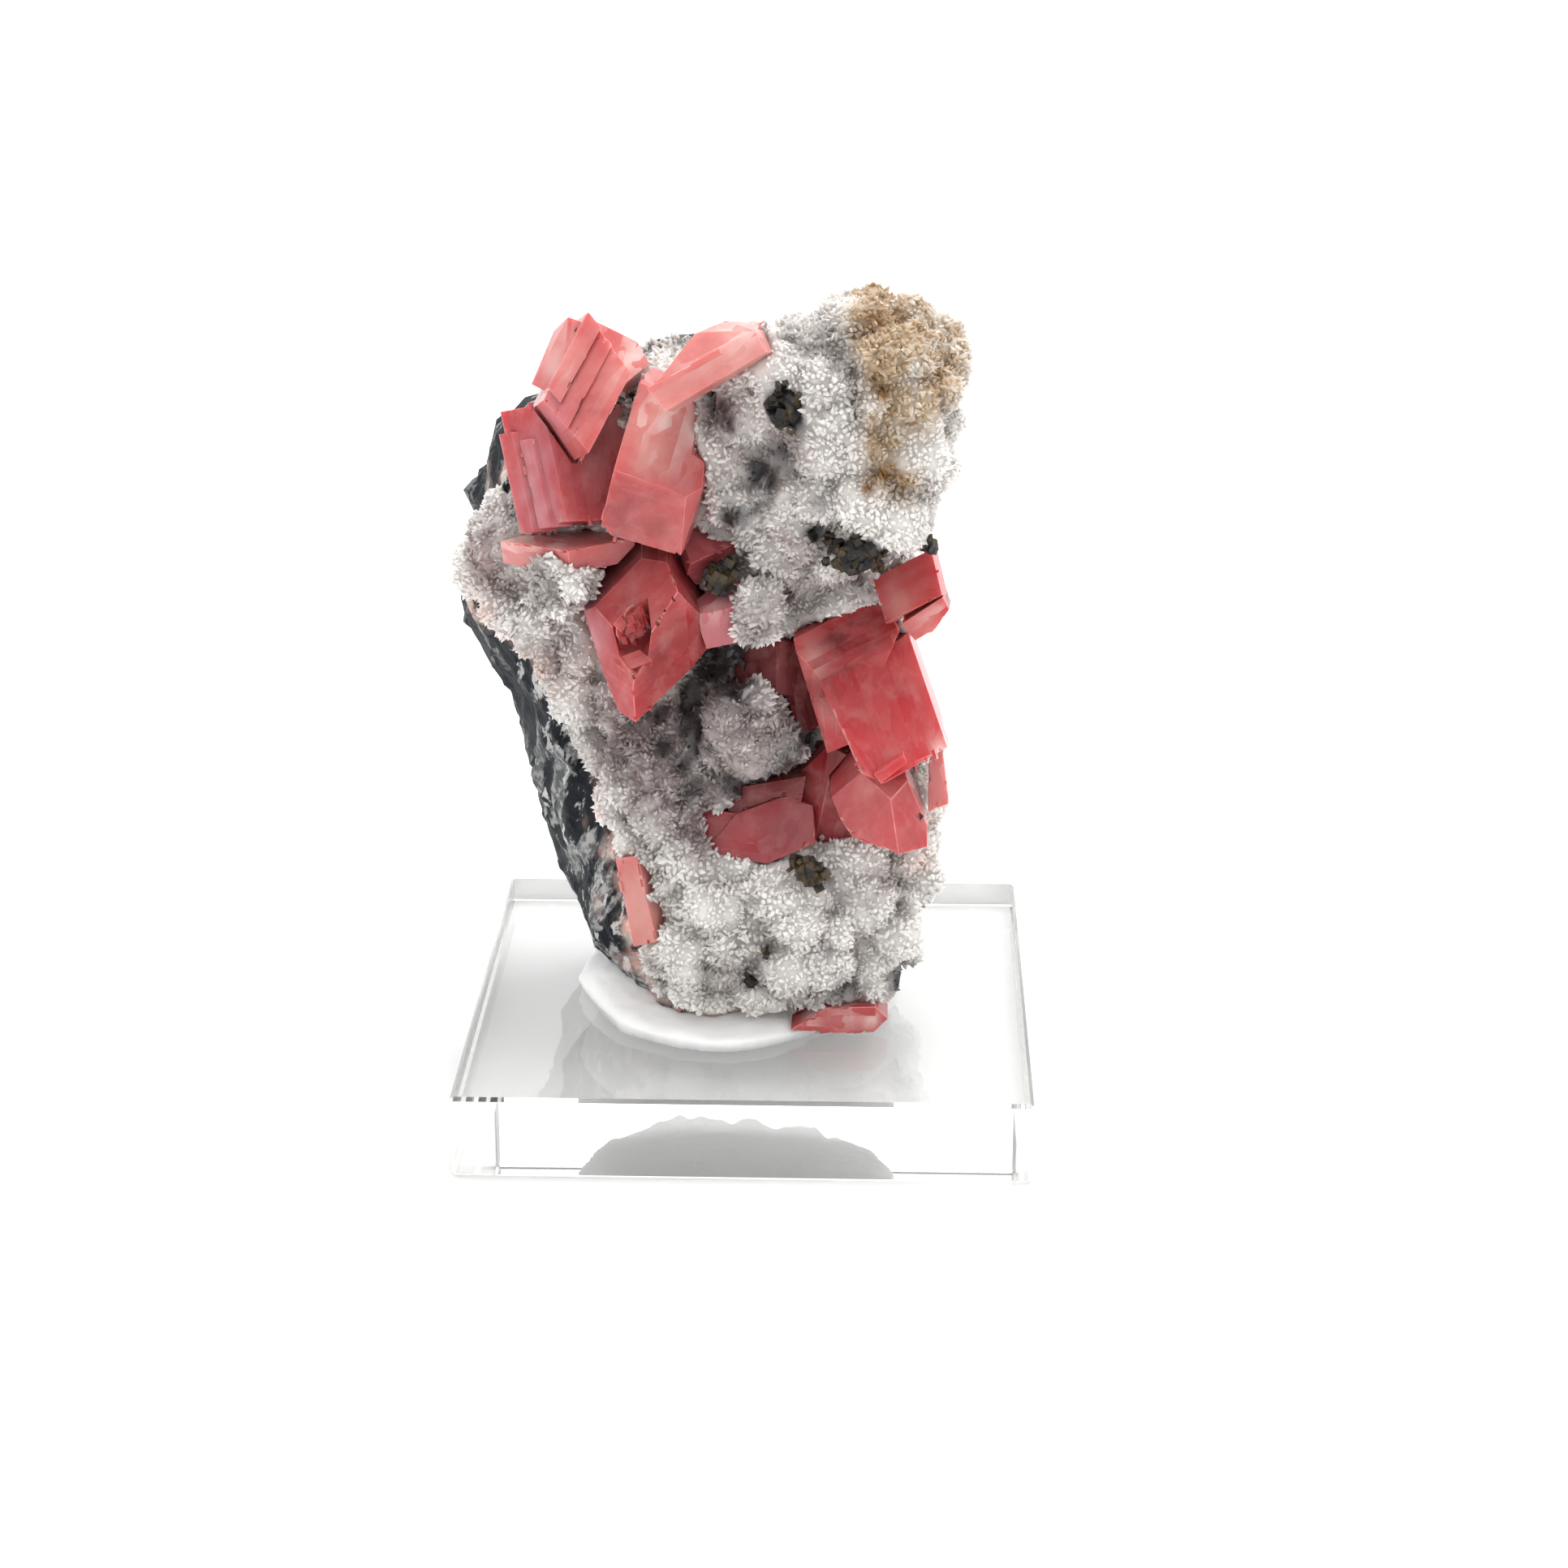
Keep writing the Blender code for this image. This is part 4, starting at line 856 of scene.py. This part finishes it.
DEEP_SPOTS = [            # where it is darker and deeper red: partly its own colour, partly painted shade in recesses and under overhangs
    (-10.8, 47.4, 1.6, 0.25), (-10.2, 44.6, 1.6, 0.35), (-7.0, 43.8, 2.4, 0.55), (2.0, 19.9, 1.4, 0.35),
    (-10.0, 51.2, 0.7, 0.30), (-6.2, 36.0, 1.4, 0.25), (4.4, 27.5, 1.4, 0.5), (-0.8, 40.0, 1.2, 0.3),
    (5.2, 23.4, 1.2, 0.4), (6.4, 33.4, 1.6, 0.6), (8.2, 34.6, 1.6, 0.55), (9.8, 35.2, 1.4, 0.5),
    (5.0, 31.0, 1.4, 0.5), (-5.4, 33.0, 1.6, 0.25), (-0.6, 19.8, 1.2, 0.3), (-4.6, 34.8, 1.8, 0.35),
    (5.2, 34.4, 1.4, 0.4),
]
VIOLET_SPOTS = [          # where it leans to violet pink
    (-14.6, 47.2, 1.6, 1.0), (-14.8, 44.2, 1.6, 1.0), (-13.4, 42.8, 1.2, 0.9), (-12.9, 50.4, 1.4, 0.9),
    (-10.5, 34.8, 1.1, 0.9), (-11.5, 37.0, 1.4, 0.9), (-9.8, 39.4, 0.9, 0.5), (1.6, 31.0, 1.4, 0.5),
    (-13.6, 55.4, 1.0, 0.5),
]
MILKY_SPOTS = [           # where a thin skin of quartz or many cracks make it whitish
    (-13.2, 53.4, 0.9, 0.8), (-12.7, 55.4, 0.9, 0.5), (-8.2, 53.9, 1.1, 0.6), (-7.3, 53.2, 0.8, 0.7),
    (-3.6, 55.2, 1.2, 0.7), (-1.2, 56.3, 1.4, 0.8), (0.4, 56.6, 0.8, 0.8), (-16.4, 40.6, 1.0, 0.8),
    (-14.6, 41.0, 0.7, 0.5), (-13.0, 41.2, 0.6, 0.5), (12.8, 35.4, 1.0, 0.6), (13.3, 36.8, 0.6, 0.6),
    (13.4, 23.6, 0.9, 0.5), (13.2, 25.6, 0.8, 1.0), (13.4, 27.2, 0.8, 1.0), (4.6, 7.8, 0.7, 1.0),
    (7.0, 8.0, 0.8, 0.8), (8.8, 7.6, 0.6, 0.9), (-6.8, 50.4, 1.8, 0.7), (-4.4, 48.8, 1.6, 1.0),
    (4.6, 32.6, 0.9, 0.45), (5.7, 29.0, 0.6, 0.4), (-2.4, 36.8, 0.9, 0.5), (-10.2, 56.2, 0.8, 0.4),
]

# Flat faces of the crystal in the middle, each through three points, in millimetres.
MIDDLE_FACES = [
    ((-7.64, -11.0, 33.22), (-7.52, -10.4, 29.97), (-3.95, -7.2, 32.92)),
    ((-3.95, -7.2, 32.92), (-4.12, -8.12, 38.01), (-2.9, -5.6, 33.58)),
    ((-7.64, -11.0, 33.22), (-6.32, -10.21, 37.03), (-9.31, -8.4, 36.7)),
    ((-7.64, -11.0, 33.22), (-7.52, -10.4, 29.97), (-9.70, -8.3, 32.5)),
    ((-10.9, -6.6, 36.77), (-9.31, -8.4, 36.7), (-9.85, -8.4, 32.4)),
    ((-10.9, -6.6, 36.77), (-9.85, -8.2, 32.4), (-12.9, -3.6, 34.9)),
    ((-4.47, -8.63, 39.02), (-10.6, -6.9, 37.2), (-6.76, -6.2, 40.2)),
    ((-5.5, -6.0, 40.4), (-4.12, -8.12, 38.01), (-4.6, -2.0, 38.9)),
    ((-10.82, -6.6, 36.9), (-8.2, -5.4, 39.5), (-8.6, -1.0, 39.9)),
    ((-6.8, -6.0, 40.3), (-5.5, -6.0, 40.4), (-6.2, -1.0, 40.9)),
    ((-7.52, -10.4, 29.97), (-2.9, -5.6, 33.58), (-5.0, -1.0, 33.0)),
    ((-7.52, -10.4, 29.97), (-8.8, -9.0, 30.2), (-7.6, -1.0, 31.4)),
    ((-8.8, -9.0, 30.2), (-9.74, -8.2, 32.5), (-9.4, -1.0, 32.6)),
    ((-8.0, -2.2, 36.0), (-6.0, -2.2, 36.0), (-7.0, -2.2, 38.0)),
]
MIDDLE_HEART = (-7.2, -6.0, 35.4)
MIDDLE_HOLLOW = [(-9.15, 36.4), (-8.6, 37.5), (-7.7, 38.2), (-6.7, 38.2), (-6.35, 37.0), (-6.6, 35.2),
                 (-7.4, 34.1), (-8.6, 34.7)]
HOLLOW_FLOOR = (-8.6, -6.9)           # y of the hollow's floor at its left and right
RUBBLE = 44
TABLET = ((-7.75, -9.7, 34.0), (1.9, -0.4, 0.9), (-0.9, 0.9, 0.5), (0.1, -0.5, 0.55))


def body_between(faces, heart):
    """The convex body around a point that lies behind every face: a cube cut by each plane in turn."""
    bm = bmesh.new()
    bmesh.ops.create_cube(bm, size=30.0 * MM, matrix=Matrix.Translation(Vector(heart) * MM))
    for corners in faces:
        first, second, third = (Vector(c) * MM for c in corners)
        out = (second - first).cross(third - first).normalized()
        if out.dot(Vector(heart) * MM - first) > 0.0:
            out = -out
        whole = bm.verts[:] + bm.edges[:] + bm.faces[:]
        bmesh.ops.bisect_plane(bm, geom=whole, plane_co=first, plane_no=out, clear_outer=True)
        bmesh.ops.holes_fill(bm, edges=bm.edges, sides=0)
    bmesh.ops.recalc_face_normals(bm, faces=bm.faces)
    return bm


def middle_body():
    """The crystal in the middle, with flat faces, as a mesh."""
    bm = body_between(MIDDLE_FACES, MIDDLE_HEART)
    mesh = bpy.data.meshes.new("rhodochrosite_middle_cluster_faces")
    bm.to_mesh(mesh)
    bm.free()
    return link(mesh.name, mesh)


def block_piece(name, centres, edges, marked):
    """Slanted blocks as one mesh: each centre plus and minus half of its three edge vectors."""
    signs = np.array(list(itertools.product((-0.5, 0.5), repeat=3)))
    corners = centres[:, None] + np.einsum("sk,nkd->nsd", signs, edges)
    faces = np.array([(0, 1, 3, 2), (4, 6, 7, 5), (0, 4, 5, 1), (2, 3, 7, 6), (0, 2, 6, 4), (1, 5, 7, 3)])
    flip = np.einsum("nd,nd->n", np.cross(edges[:, 0], edges[:, 1]), edges[:, 2]) < 0.0
    index = np.where(flip[:, None, None], faces[None, :, ::-1], faces[None])
    index = (index + np.arange(len(centres))[:, None, None] * 8).reshape(-1, 4)
    mesh = bpy.data.meshes.new(name)
    mesh.from_pydata((corners.reshape(-1, 3) * MM).tolist(), [], index.tolist())
    mesh.polygons.foreach_set("material_index", np.full(len(index), int(marked)))
    square = mesh.uv_layers.new(name="face")
    square.uv.foreach_set("vector", np.tile(np.array([0, 0, 1, 0, 1, 1, 0, 1], float), len(index)))
    return link(name, mesh)


def carve(obj, tool, operation):
    """Cut a tool from a crystal, or join it, and drop the tool."""
    boolean = obj.modifiers.new("carve", "BOOLEAN")
    boolean.operation = operation
    boolean.solver = "EXACT"
    boolean.use_self = True
    boolean.object = tool
    keep_evaluated(obj)
    bpy.data.objects.remove(tool)


def cleavage_axes(mesh):
    """Three directions that a crystal breaks along: its longest edges that are well turned apart."""
    ends = np.empty(len(mesh.edges) * 2, np.int32)
    mesh.edges.foreach_get("vertices", ends)
    points = vertex_array(mesh)
    ends = ends.reshape(-1, 2)
    along = points[ends[:, 1]] - points[ends[:, 0]]
    order = np.argsort(-np.linalg.norm(along, axis=1))
    along = unit(along[order])
    axes = [along[0]]
    turned = np.abs(along @ axes[0]) < 0.75
    axes.append(along[turned][0])
    level = unit(np.cross(axes[0], axes[1]))
    axes.append(along[np.abs(along @ level) > 0.45][0])
    return np.array(axes)


def sharp_spots(mesh, count, rng):
    """Random places along a crystal's sharp edges that face the front, longer edges more often."""
    bm = bmesh.new()
    bm.from_mesh(mesh)
    sharp = [e for e in bm.edges if e.is_manifold and e.calc_face_angle() > math.radians(35.0)
             and min(f.normal.y for f in e.link_faces) < -0.1]
    ends = np.array([[v.co[:] for v in e.verts] for e in sharp]) / MM
    bm.free()
    lengths = np.linalg.norm(ends[:, 1] - ends[:, 0], axis=1)
    pick = rng.choice(len(ends), count, p=lengths / lengths.sum())
    share = 0.06 + 0.88 * rng.random(count)[:, None]
    return ends[pick, 0] * (1.0 - share) + ends[pick, 1] * share


def chip_edges(obj, seed):
    """Break a crystal's edges: notches cut along its cleavage, and a few small blocks left standing."""
    rng = np.random.default_rng(seed)
    axes = cleavage_axes(obj.data)
    extent = np.ptp(vertex_array(obj.data), axis=0).max()
    notches, crumbs = int(NOTCHES * extent), int(CRUMBS * extent)
    spots = sharp_spots(obj.data, notches + crumbs, rng)
    sizes = rng.uniform(CHIP_LOW, CHIP_HIGH, (notches + crumbs, 3))
    edges = sizes[..., None] * axes[None]
    carve(obj, block_piece("notches", spots[:notches], edges[:notches], True), "DIFFERENCE")
    small = edges[notches:] * CRUMB_SHARE
    carve(obj, block_piece("crumbs", spots[notches:], small, False), "UNION")


def hollow_out(obj, seed):
    """The broken hollow in the middle crystal: a pit with rubble of small crystals on its floor."""
    rim = np.array(MIDDLE_HOLLOW)
    count = len(rim)
    share = (rim[:, 0] - rim[:, 0].min()) / np.ptp(rim[:, 0])
    floor = HOLLOW_FLOOR[0] + (HOLLOW_FLOOR[1] - HOLLOW_FLOOR[0]) * share * 0.4
    near = np.stack([rim[:, 0], np.full(count, -14.0), rim[:, 1] - 1.5], axis=1)
    far = np.stack([rim[:, 0], floor, rim[:, 1]], axis=1)
    i = np.arange(count)
    j = (i + 1) % count
    walls = np.stack([i, i + count, j + count, j], axis=1).tolist()
    mesh = bpy.data.meshes.new("pit")
    mesh.from_pydata((np.concatenate([near, far]) * MM).tolist(), [],
                     walls + [i.tolist(), (i[::-1] + count).tolist()])
    mesh.uv_layers.new(name="face")
    bm = bmesh.new()
    bm.from_mesh(mesh)
    bmesh.ops.recalc_face_normals(bm, faces=bm.faces)
    bm.to_mesh(mesh)
    bm.free()
    carve(obj, link("pit", mesh), "DIFFERENCE")
    rng = np.random.default_rng(seed)
    mix = rng.dirichlet(np.ones(count), RUBBLE)
    centres = mix @ far - [[0.0, 0.25, 0.0]] * RUBBLE
    axes = cleavage_axes(obj.data)
    axes = unit(axes[None] + 0.35 * rng.normal(size=(RUBBLE, 1, 3)))
    edges = axes * rng.uniform(0.35, 1.05, (RUBBLE, 3, 1))
    carve(obj, block_piece("rubble", centres, edges, False), "UNION")
    middle = np.array([TABLET[0]])
    carve(obj, block_piece("tablet", middle, np.array([TABLET[1:]]), False), "UNION")


def refine(mesh):
    """Halve the edges that are too long to carry the changing colour, several times over."""
    bm = bmesh.new()
    bm.from_mesh(mesh)
    for _ in range(REFINE_ROUNDS):
        bmesh.ops.triangulate(bm, faces=bm.faces)
        long = [e for e in bm.edges if e.calc_length() > REFINE_ABOVE * MM]
        bmesh.ops.subdivide_edges(bm, edges=long, cuts=1)
    bmesh.ops.triangulate(bm, faces=bm.faces)
    bm.to_mesh(mesh)
    bm.free()
    mesh.update()


def make_crystal(node, seed, rose, edge_mat):
    """A crystal group: flat facets, lined faces and chipped pale edges."""
    if node == "rhodochrosite_middle_cluster":
        obj = middle_body()
    else:
        obj = merged_copy(node, node + "_faces")
        store_vertices(obj.data, vertex_array(obj.data) + normal_array(obj.data) * GROWN.get(node, GROWTH))
    bm = bmesh.new()
    bm.from_mesh(obj.data)
    bmesh.ops.dissolve_limit(bm, angle_limit=FACET_ANGLE, verts=bm.verts, edges=bm.edges)
    bmesh.ops.planar_faces(bm, faces=bm.faces, iterations=80, factor=0.4)
    bm.normal_update()
    face_coordinates(bm)
    bm.to_mesh(obj.data)
    bm.free()
    edge = obj.modifiers.new("edge", "BEVEL")
    edge.width = EDGE_WIDTH * MM
    edge.segments = 1
    edge.limit_method = "ANGLE"
    edge.angle_limit = EDGE_ANGLE
    edge.material = 1
    obj.data.materials.append(rose)
    obj.data.materials.append(edge_mat)
    keep_evaluated(obj)
    chip_edges(obj, seed)
    if node == "rhodochrosite_middle_cluster":
        hollow_out(obj, seed)
    refine(obj.data)
    points = vertex_array(obj.data)
    # pale and deep marks: partly the crystals' own colour, partly painted light and painted shade
    spots = (PALE_SPOTS, DEEP_SPOTS, VIOLET_SPOTS, MILKY_SPOTS)
    shares = TINTS[node] + (0.0,)
    for name, share, where in zip(("pale", "deep", "violet", "milky"), shares, spots):
        cloudy = share + 0.8 * share * (1.0 - share) * soft_noise(points, 2.0, seed)
        cloudy += patch_values(points, where, seed) * (1.0 - share)
        set_attribute(obj.data, name, np.clip(cloudy, 0.0, 1.0))
    return finish_piece(obj, [node])


# ---------------------------------------------------------------- rock, ore, putty

def rough_copy(node, name, cuts, push, seed):
    """A node's form cut finer and pushed along its normals: 0.6 ledges + 0.6 waves + 0.3 fine noise."""
    obj = merged_copy(node, name)
    bm = bmesh.new()
    bm.from_mesh(obj.data)
    bmesh.ops.subdivide_edges(bm, edges=bm.edges, cuts=cuts, use_grid_fill=True)
    bmesh.ops.triangulate(bm, faces=bm.faces)
    bm.to_mesh(obj.data)
    bm.free()
    obj.data.update()
    points, normals = vertex_array(obj.data), normal_array(obj.data)
    ledges = np.round(2.5 * soft_noise(points * [1.0, 1.0, 0.5], 1.8, seed)) / 2.5
    wave = 0.6 * ledges + 0.6 * soft_noise(points, 0.8, seed + 1) + 0.3 * soft_noise(points, 0.35, seed + 2)
    store_vertices(obj.data, points + normals * (push * wave)[:, None])
    shade(obj.data, False)
    return obj


def rock_needles(rock, blocked, mat):
    """Small tufts that grow straight on the rock's top, between the crystals."""
    rng = np.random.default_rng(19)
    roots, aims = needle_sites(rock, blocked, 10 ** 6, rng)
    away = np.sqrt((((roots - ROCK_TOP) / TUFTS_REACH) ** 2).sum(1))
    keep = (away < 1.0 + 0.25 * soft_noise(roots, 1.0, 33)) & (aims[:, 2] > -0.2)
    needle_piece("rock_top_needles", needle_arrays(roots[keep], aims[keep], rng), mat)


def make_rock(mat):
    """The host rock: chipped, its left flank and right shoulder swelled, with marks for its colours."""
    rock = rough_copy("matrix_rock", "matrix_rock_surface", ROCK_CUTS, ROCK_CHIPS, 51)
    points = vertex_array(rock.data)
    height = np.interp(points[:, 2], *FLANK_PUSH)
    points[:, 0] -= height * np.clip((-points[:, 0] - 4.0) / 4.0, 0.0, 1.0)
    shoulder = np.clip((points[:, 2] - 48.0) / 4.0, 0.0, 1.0) * np.clip((points[:, 0] - 5.0) / 3.0, 0.0, 1.0)
    points[:, 2] += ROCK_SHOULDER * shoulder
    store_vertices(rock.data, points)
    edge = nearest_distance(points, surface_spots(["quartz_crust"], 2.0, 6))
    rim = np.exp(-((edge - 0.3) / RIM_REACH) ** 2) + 0.5 * soft_noise(points, 1.6, 55)
    top = np.exp(-(((points - ROCK_TOP) / SKIN_REACH) ** 2).sum(1))
    set_attribute(rock.data, "top", np.clip(2.6 * top + 0.5 * soft_noise(points, 0.8, 56) - 0.8, 0.0, 1.0))
    set_attribute(rock.data, "rim", np.clip(rim, 0.0, 1.0) * (edge < 3.0 * RIM_REACH))
    behind = points[:, 1] / 6.0 + 0.5 * soft_noise(points, 3.0, 57)
    set_attribute(rock.data, "behind", np.clip(behind, 0.0, 1.0))
    return finish_piece(rock, ["matrix_rock"], [mat])


def make_ore(node, mat, seed):
    """A grain broken into small blocks: its points are drawn towards a turned cubic lattice."""
    grain = rough_copy(node, node + "_surface", ROCK_CUTS, ORE_CHIPS, seed)
    points = vertex_array(grain.data)
    middle = points.mean(0)
    turn = np.array(Matrix.Rotation(0.6 + seed, 3, "Z") @ Matrix.Rotation(0.5, 3, "X"))
    local = (points - middle) @ turn * ORE_SHRINK
    blocks = np.round(local / ORE_BLOCK) * ORE_BLOCK
    store_vertices(grain.data, ((1.0 - ORE_DRAW) * local + ORE_DRAW * blocks) @ turn.T + middle)
    return finish_piece(grain, [node], [mat])


ORE_BITS = [              # centre, spread and number of small broken bits of ore
    ((4.6, -7.4, 42.6), 0.30, 5), ((5.5, -7.2, 41.7), 0.40, 8), ((6.3, -8.9, 41.6), 0.45, 8),
    ((7.8, -9.4, 41.2), 0.45, 9), ((8.8, -8.2, 41.1), 0.35, 8), ((12.3, -6.9, 41.8), 0.16, 5),
    ((-2.2, -6.2, 39.2), 0.50, 8), ((-1.5, -5.9, 39.6), 0.35, 5), ((2.7, -7.9, 51.6), 0.70, 10),
    ((3.6, -11.1, 19.7), 0.30, 5), ((5.2, -11.5, 19.3), 0.35, 6), ((1.5, -11.5, 13.3), 0.12, 2),
    ((0.3, -11.1, 10.9), 0.10, 2), ((11.6, -9.0, 22.8), 0.12, 2),
]


def make_ore_bits(mat):
    """Crumbs of ore around the grains: small turned blocks spread about some places."""
    rng = np.random.default_rng(91)
    centres = np.concatenate([np.array(place) + spread * rng.normal(size=(count, 3))
                              for place, spread, count in ORE_BITS])
    turned = np.linalg.qr(rng.normal(size=(len(centres), 3, 3)))[0]
    edges = turned * rng.uniform(0.20, 0.75, (len(centres), 3, 1))
    bits = block_piece("ore_bits", centres, edges, False)
    return finish_piece(bits, materials=[mat])


def make_putty(mat):
    """The pad of putty on an even grid, smoothed, softly dented, and flat where it grips the block."""
    putty, points = even_grid("mounting_putty", "mounting_putty_surface", PUTTY_CELL, PUTTY_SMOOTHING)
    mesh = putty.data
    normals = normal_array(mesh)
    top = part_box("acrylic_block")[1].z / MM
    share = np.clip((points[:, 2] - top) / 0.8, 0.0, 1.0)
    dents = sum(depth * soft_noise(points, size, 61 + k) for k, (size, depth) in enumerate(PUTTY_DENTS))
    points += normals * (dents * share)[:, None]
    behind = np.clip((points[:, 1] - PUTTY_RAGGED) / 4.0, 0.0, 1.0)
    along = points * [1.0, 0.0, 0.0]
    tear = soft_noise(along, 1.9, 63) + 0.5 * soft_noise(along, 0.8, 64) - 0.7
    points[:, 1] += PUTTY_TEAR * behind * tear
    low = points[:, 2] < top + PUTTY_GRIP
    points[low, 2] = top - PUTTY_SINK
    store_vertices(mesh, points)
    shade(mesh, True)
    return finish_piece(putty, ["mounting_putty"], [mat])


def make_acrylic(mat):
    """Give the block its clear material; its form is the solid's own."""
    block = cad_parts["acrylic_block"]
    block.data.materials.clear()
    block.data.materials.append(mat)


# ---------------------------------------------------------------- stage, light, camera

CAMERA_PLACE = (0.00892, -0.2218, 0.10495)
CAMERA_TURN = math.radians(1.70)
CAMERA_DIP = math.radians(20.57)
CAMERA_LENS = 75.4
FLOOR_HALF = 3.0
FLOOR_GAP = 0.00002       # the floor lies this far under the block
SKY_STRENGTH = 1.25


def make_camera():
    """Camera in front and a little above, looking down at the specimen."""
    camera = bpy.data.cameras.new("camera")
    camera.lens = CAMERA_LENS
    camera.sensor_width = 36.0
    camera.clip_start = 0.01
    obj = bpy.data.objects.new("camera", camera)
    bpy.context.scene.collection.objects.link(obj)
    obj.location = CAMERA_PLACE
    flat = math.cos(CAMERA_DIP)
    ahead = Vector((-math.sin(CAMERA_TURN) * flat, math.cos(CAMERA_TURN) * flat, -math.sin(CAMERA_DIP)))
    obj.rotation_euler = ahead.to_track_quat("-Z", "Y").to_euler()
    bpy.context.scene.camera = obj


def make_stage():
    """Wide white floor under a white sky."""
    mesh = bpy.data.meshes.new("floor")
    corners = [(-FLOOR_HALF, -FLOOR_HALF), (FLOOR_HALF, -FLOOR_HALF), (FLOOR_HALF, FLOOR_HALF),
               (-FLOOR_HALF, FLOOR_HALF)]
    mesh.from_pydata([(x, y, -FLOOR_GAP) for x, y in corners], [], [(0, 1, 2, 3)])
    floor = link("floor", mesh)
    mesh.materials.append(new_material("floor", Roughness=0.8, Base_Color=(0.93, 0.93, 0.93, 1.0))[0])
    world = bpy.data.worlds.new("studio")
    bpy.context.scene.world = world
    world.use_nodes = True
    sky = world.node_tree.nodes["Background"]
    sky.inputs["Color"].default_value = (1.0, 1.0, 1.0, 1.0)
    sky.inputs["Strength"].default_value = SKY_STRENGTH


def make_light(name, place, target, size, power):
    """A round soft lamp that points at a target."""
    lamp = bpy.data.lights.new(name, "AREA")
    lamp.shape = "DISK"
    lamp.size = size
    lamp.energy = power
    obj = bpy.data.objects.new(name, lamp)
    bpy.context.scene.collection.objects.link(obj)
    obj.location = place
    obj.rotation_euler = (Vector(target) - Vector(place)).to_track_quat("-Z", "Y").to_euler()


# ---------------------------------------------------------------- the specimen

def main():
    make_camera()
    make_stage()
    make_light("overhead", (0.10, 0.10, 0.52), (0.0, 0.0, 0.03), 0.34, 2.4)

    make_acrylic(acrylic_material())
    make_putty(putty_material())
    rock = make_rock(rock_material())
    ore = ore_material()
    nodes = sorted(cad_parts)
    grains = [n for n in nodes if n.startswith("ore_grain")]
    for seed, node in enumerate(grains):
        make_ore(node, ore, 70 + seed)
    make_ore_bits(ore)
    rose, rose_edge = rose_material(), rose_edge_material()
    crystals = [n for n in nodes if n.startswith("rhodochrosite")]
    for seed, node in enumerate(crystals):
        make_crystal(node, 100 + seed, rose, rose_edge)

    base_mat, needle_mat = quartz_base_material(), quartz_needle_material()
    others = crystals + ["matrix_rock", "mounting_putty", "acrylic_block"] + grains
    blocked = filled_cells(others)
    neighbours = surface_spots(crystals + grains, 2.5, 5)
    rock_needles(rock, filled_cells([n for n in others if n != "matrix_rock"]), needle_mat)
    for seed, (node, most) in enumerate(MOST_NEEDLES.items()):
        make_druse(node, most, blocked, neighbours, base_mat, needle_mat, 7 + seed)


main()
bpy.context.scene.view_settings.view_transform = "Standard"
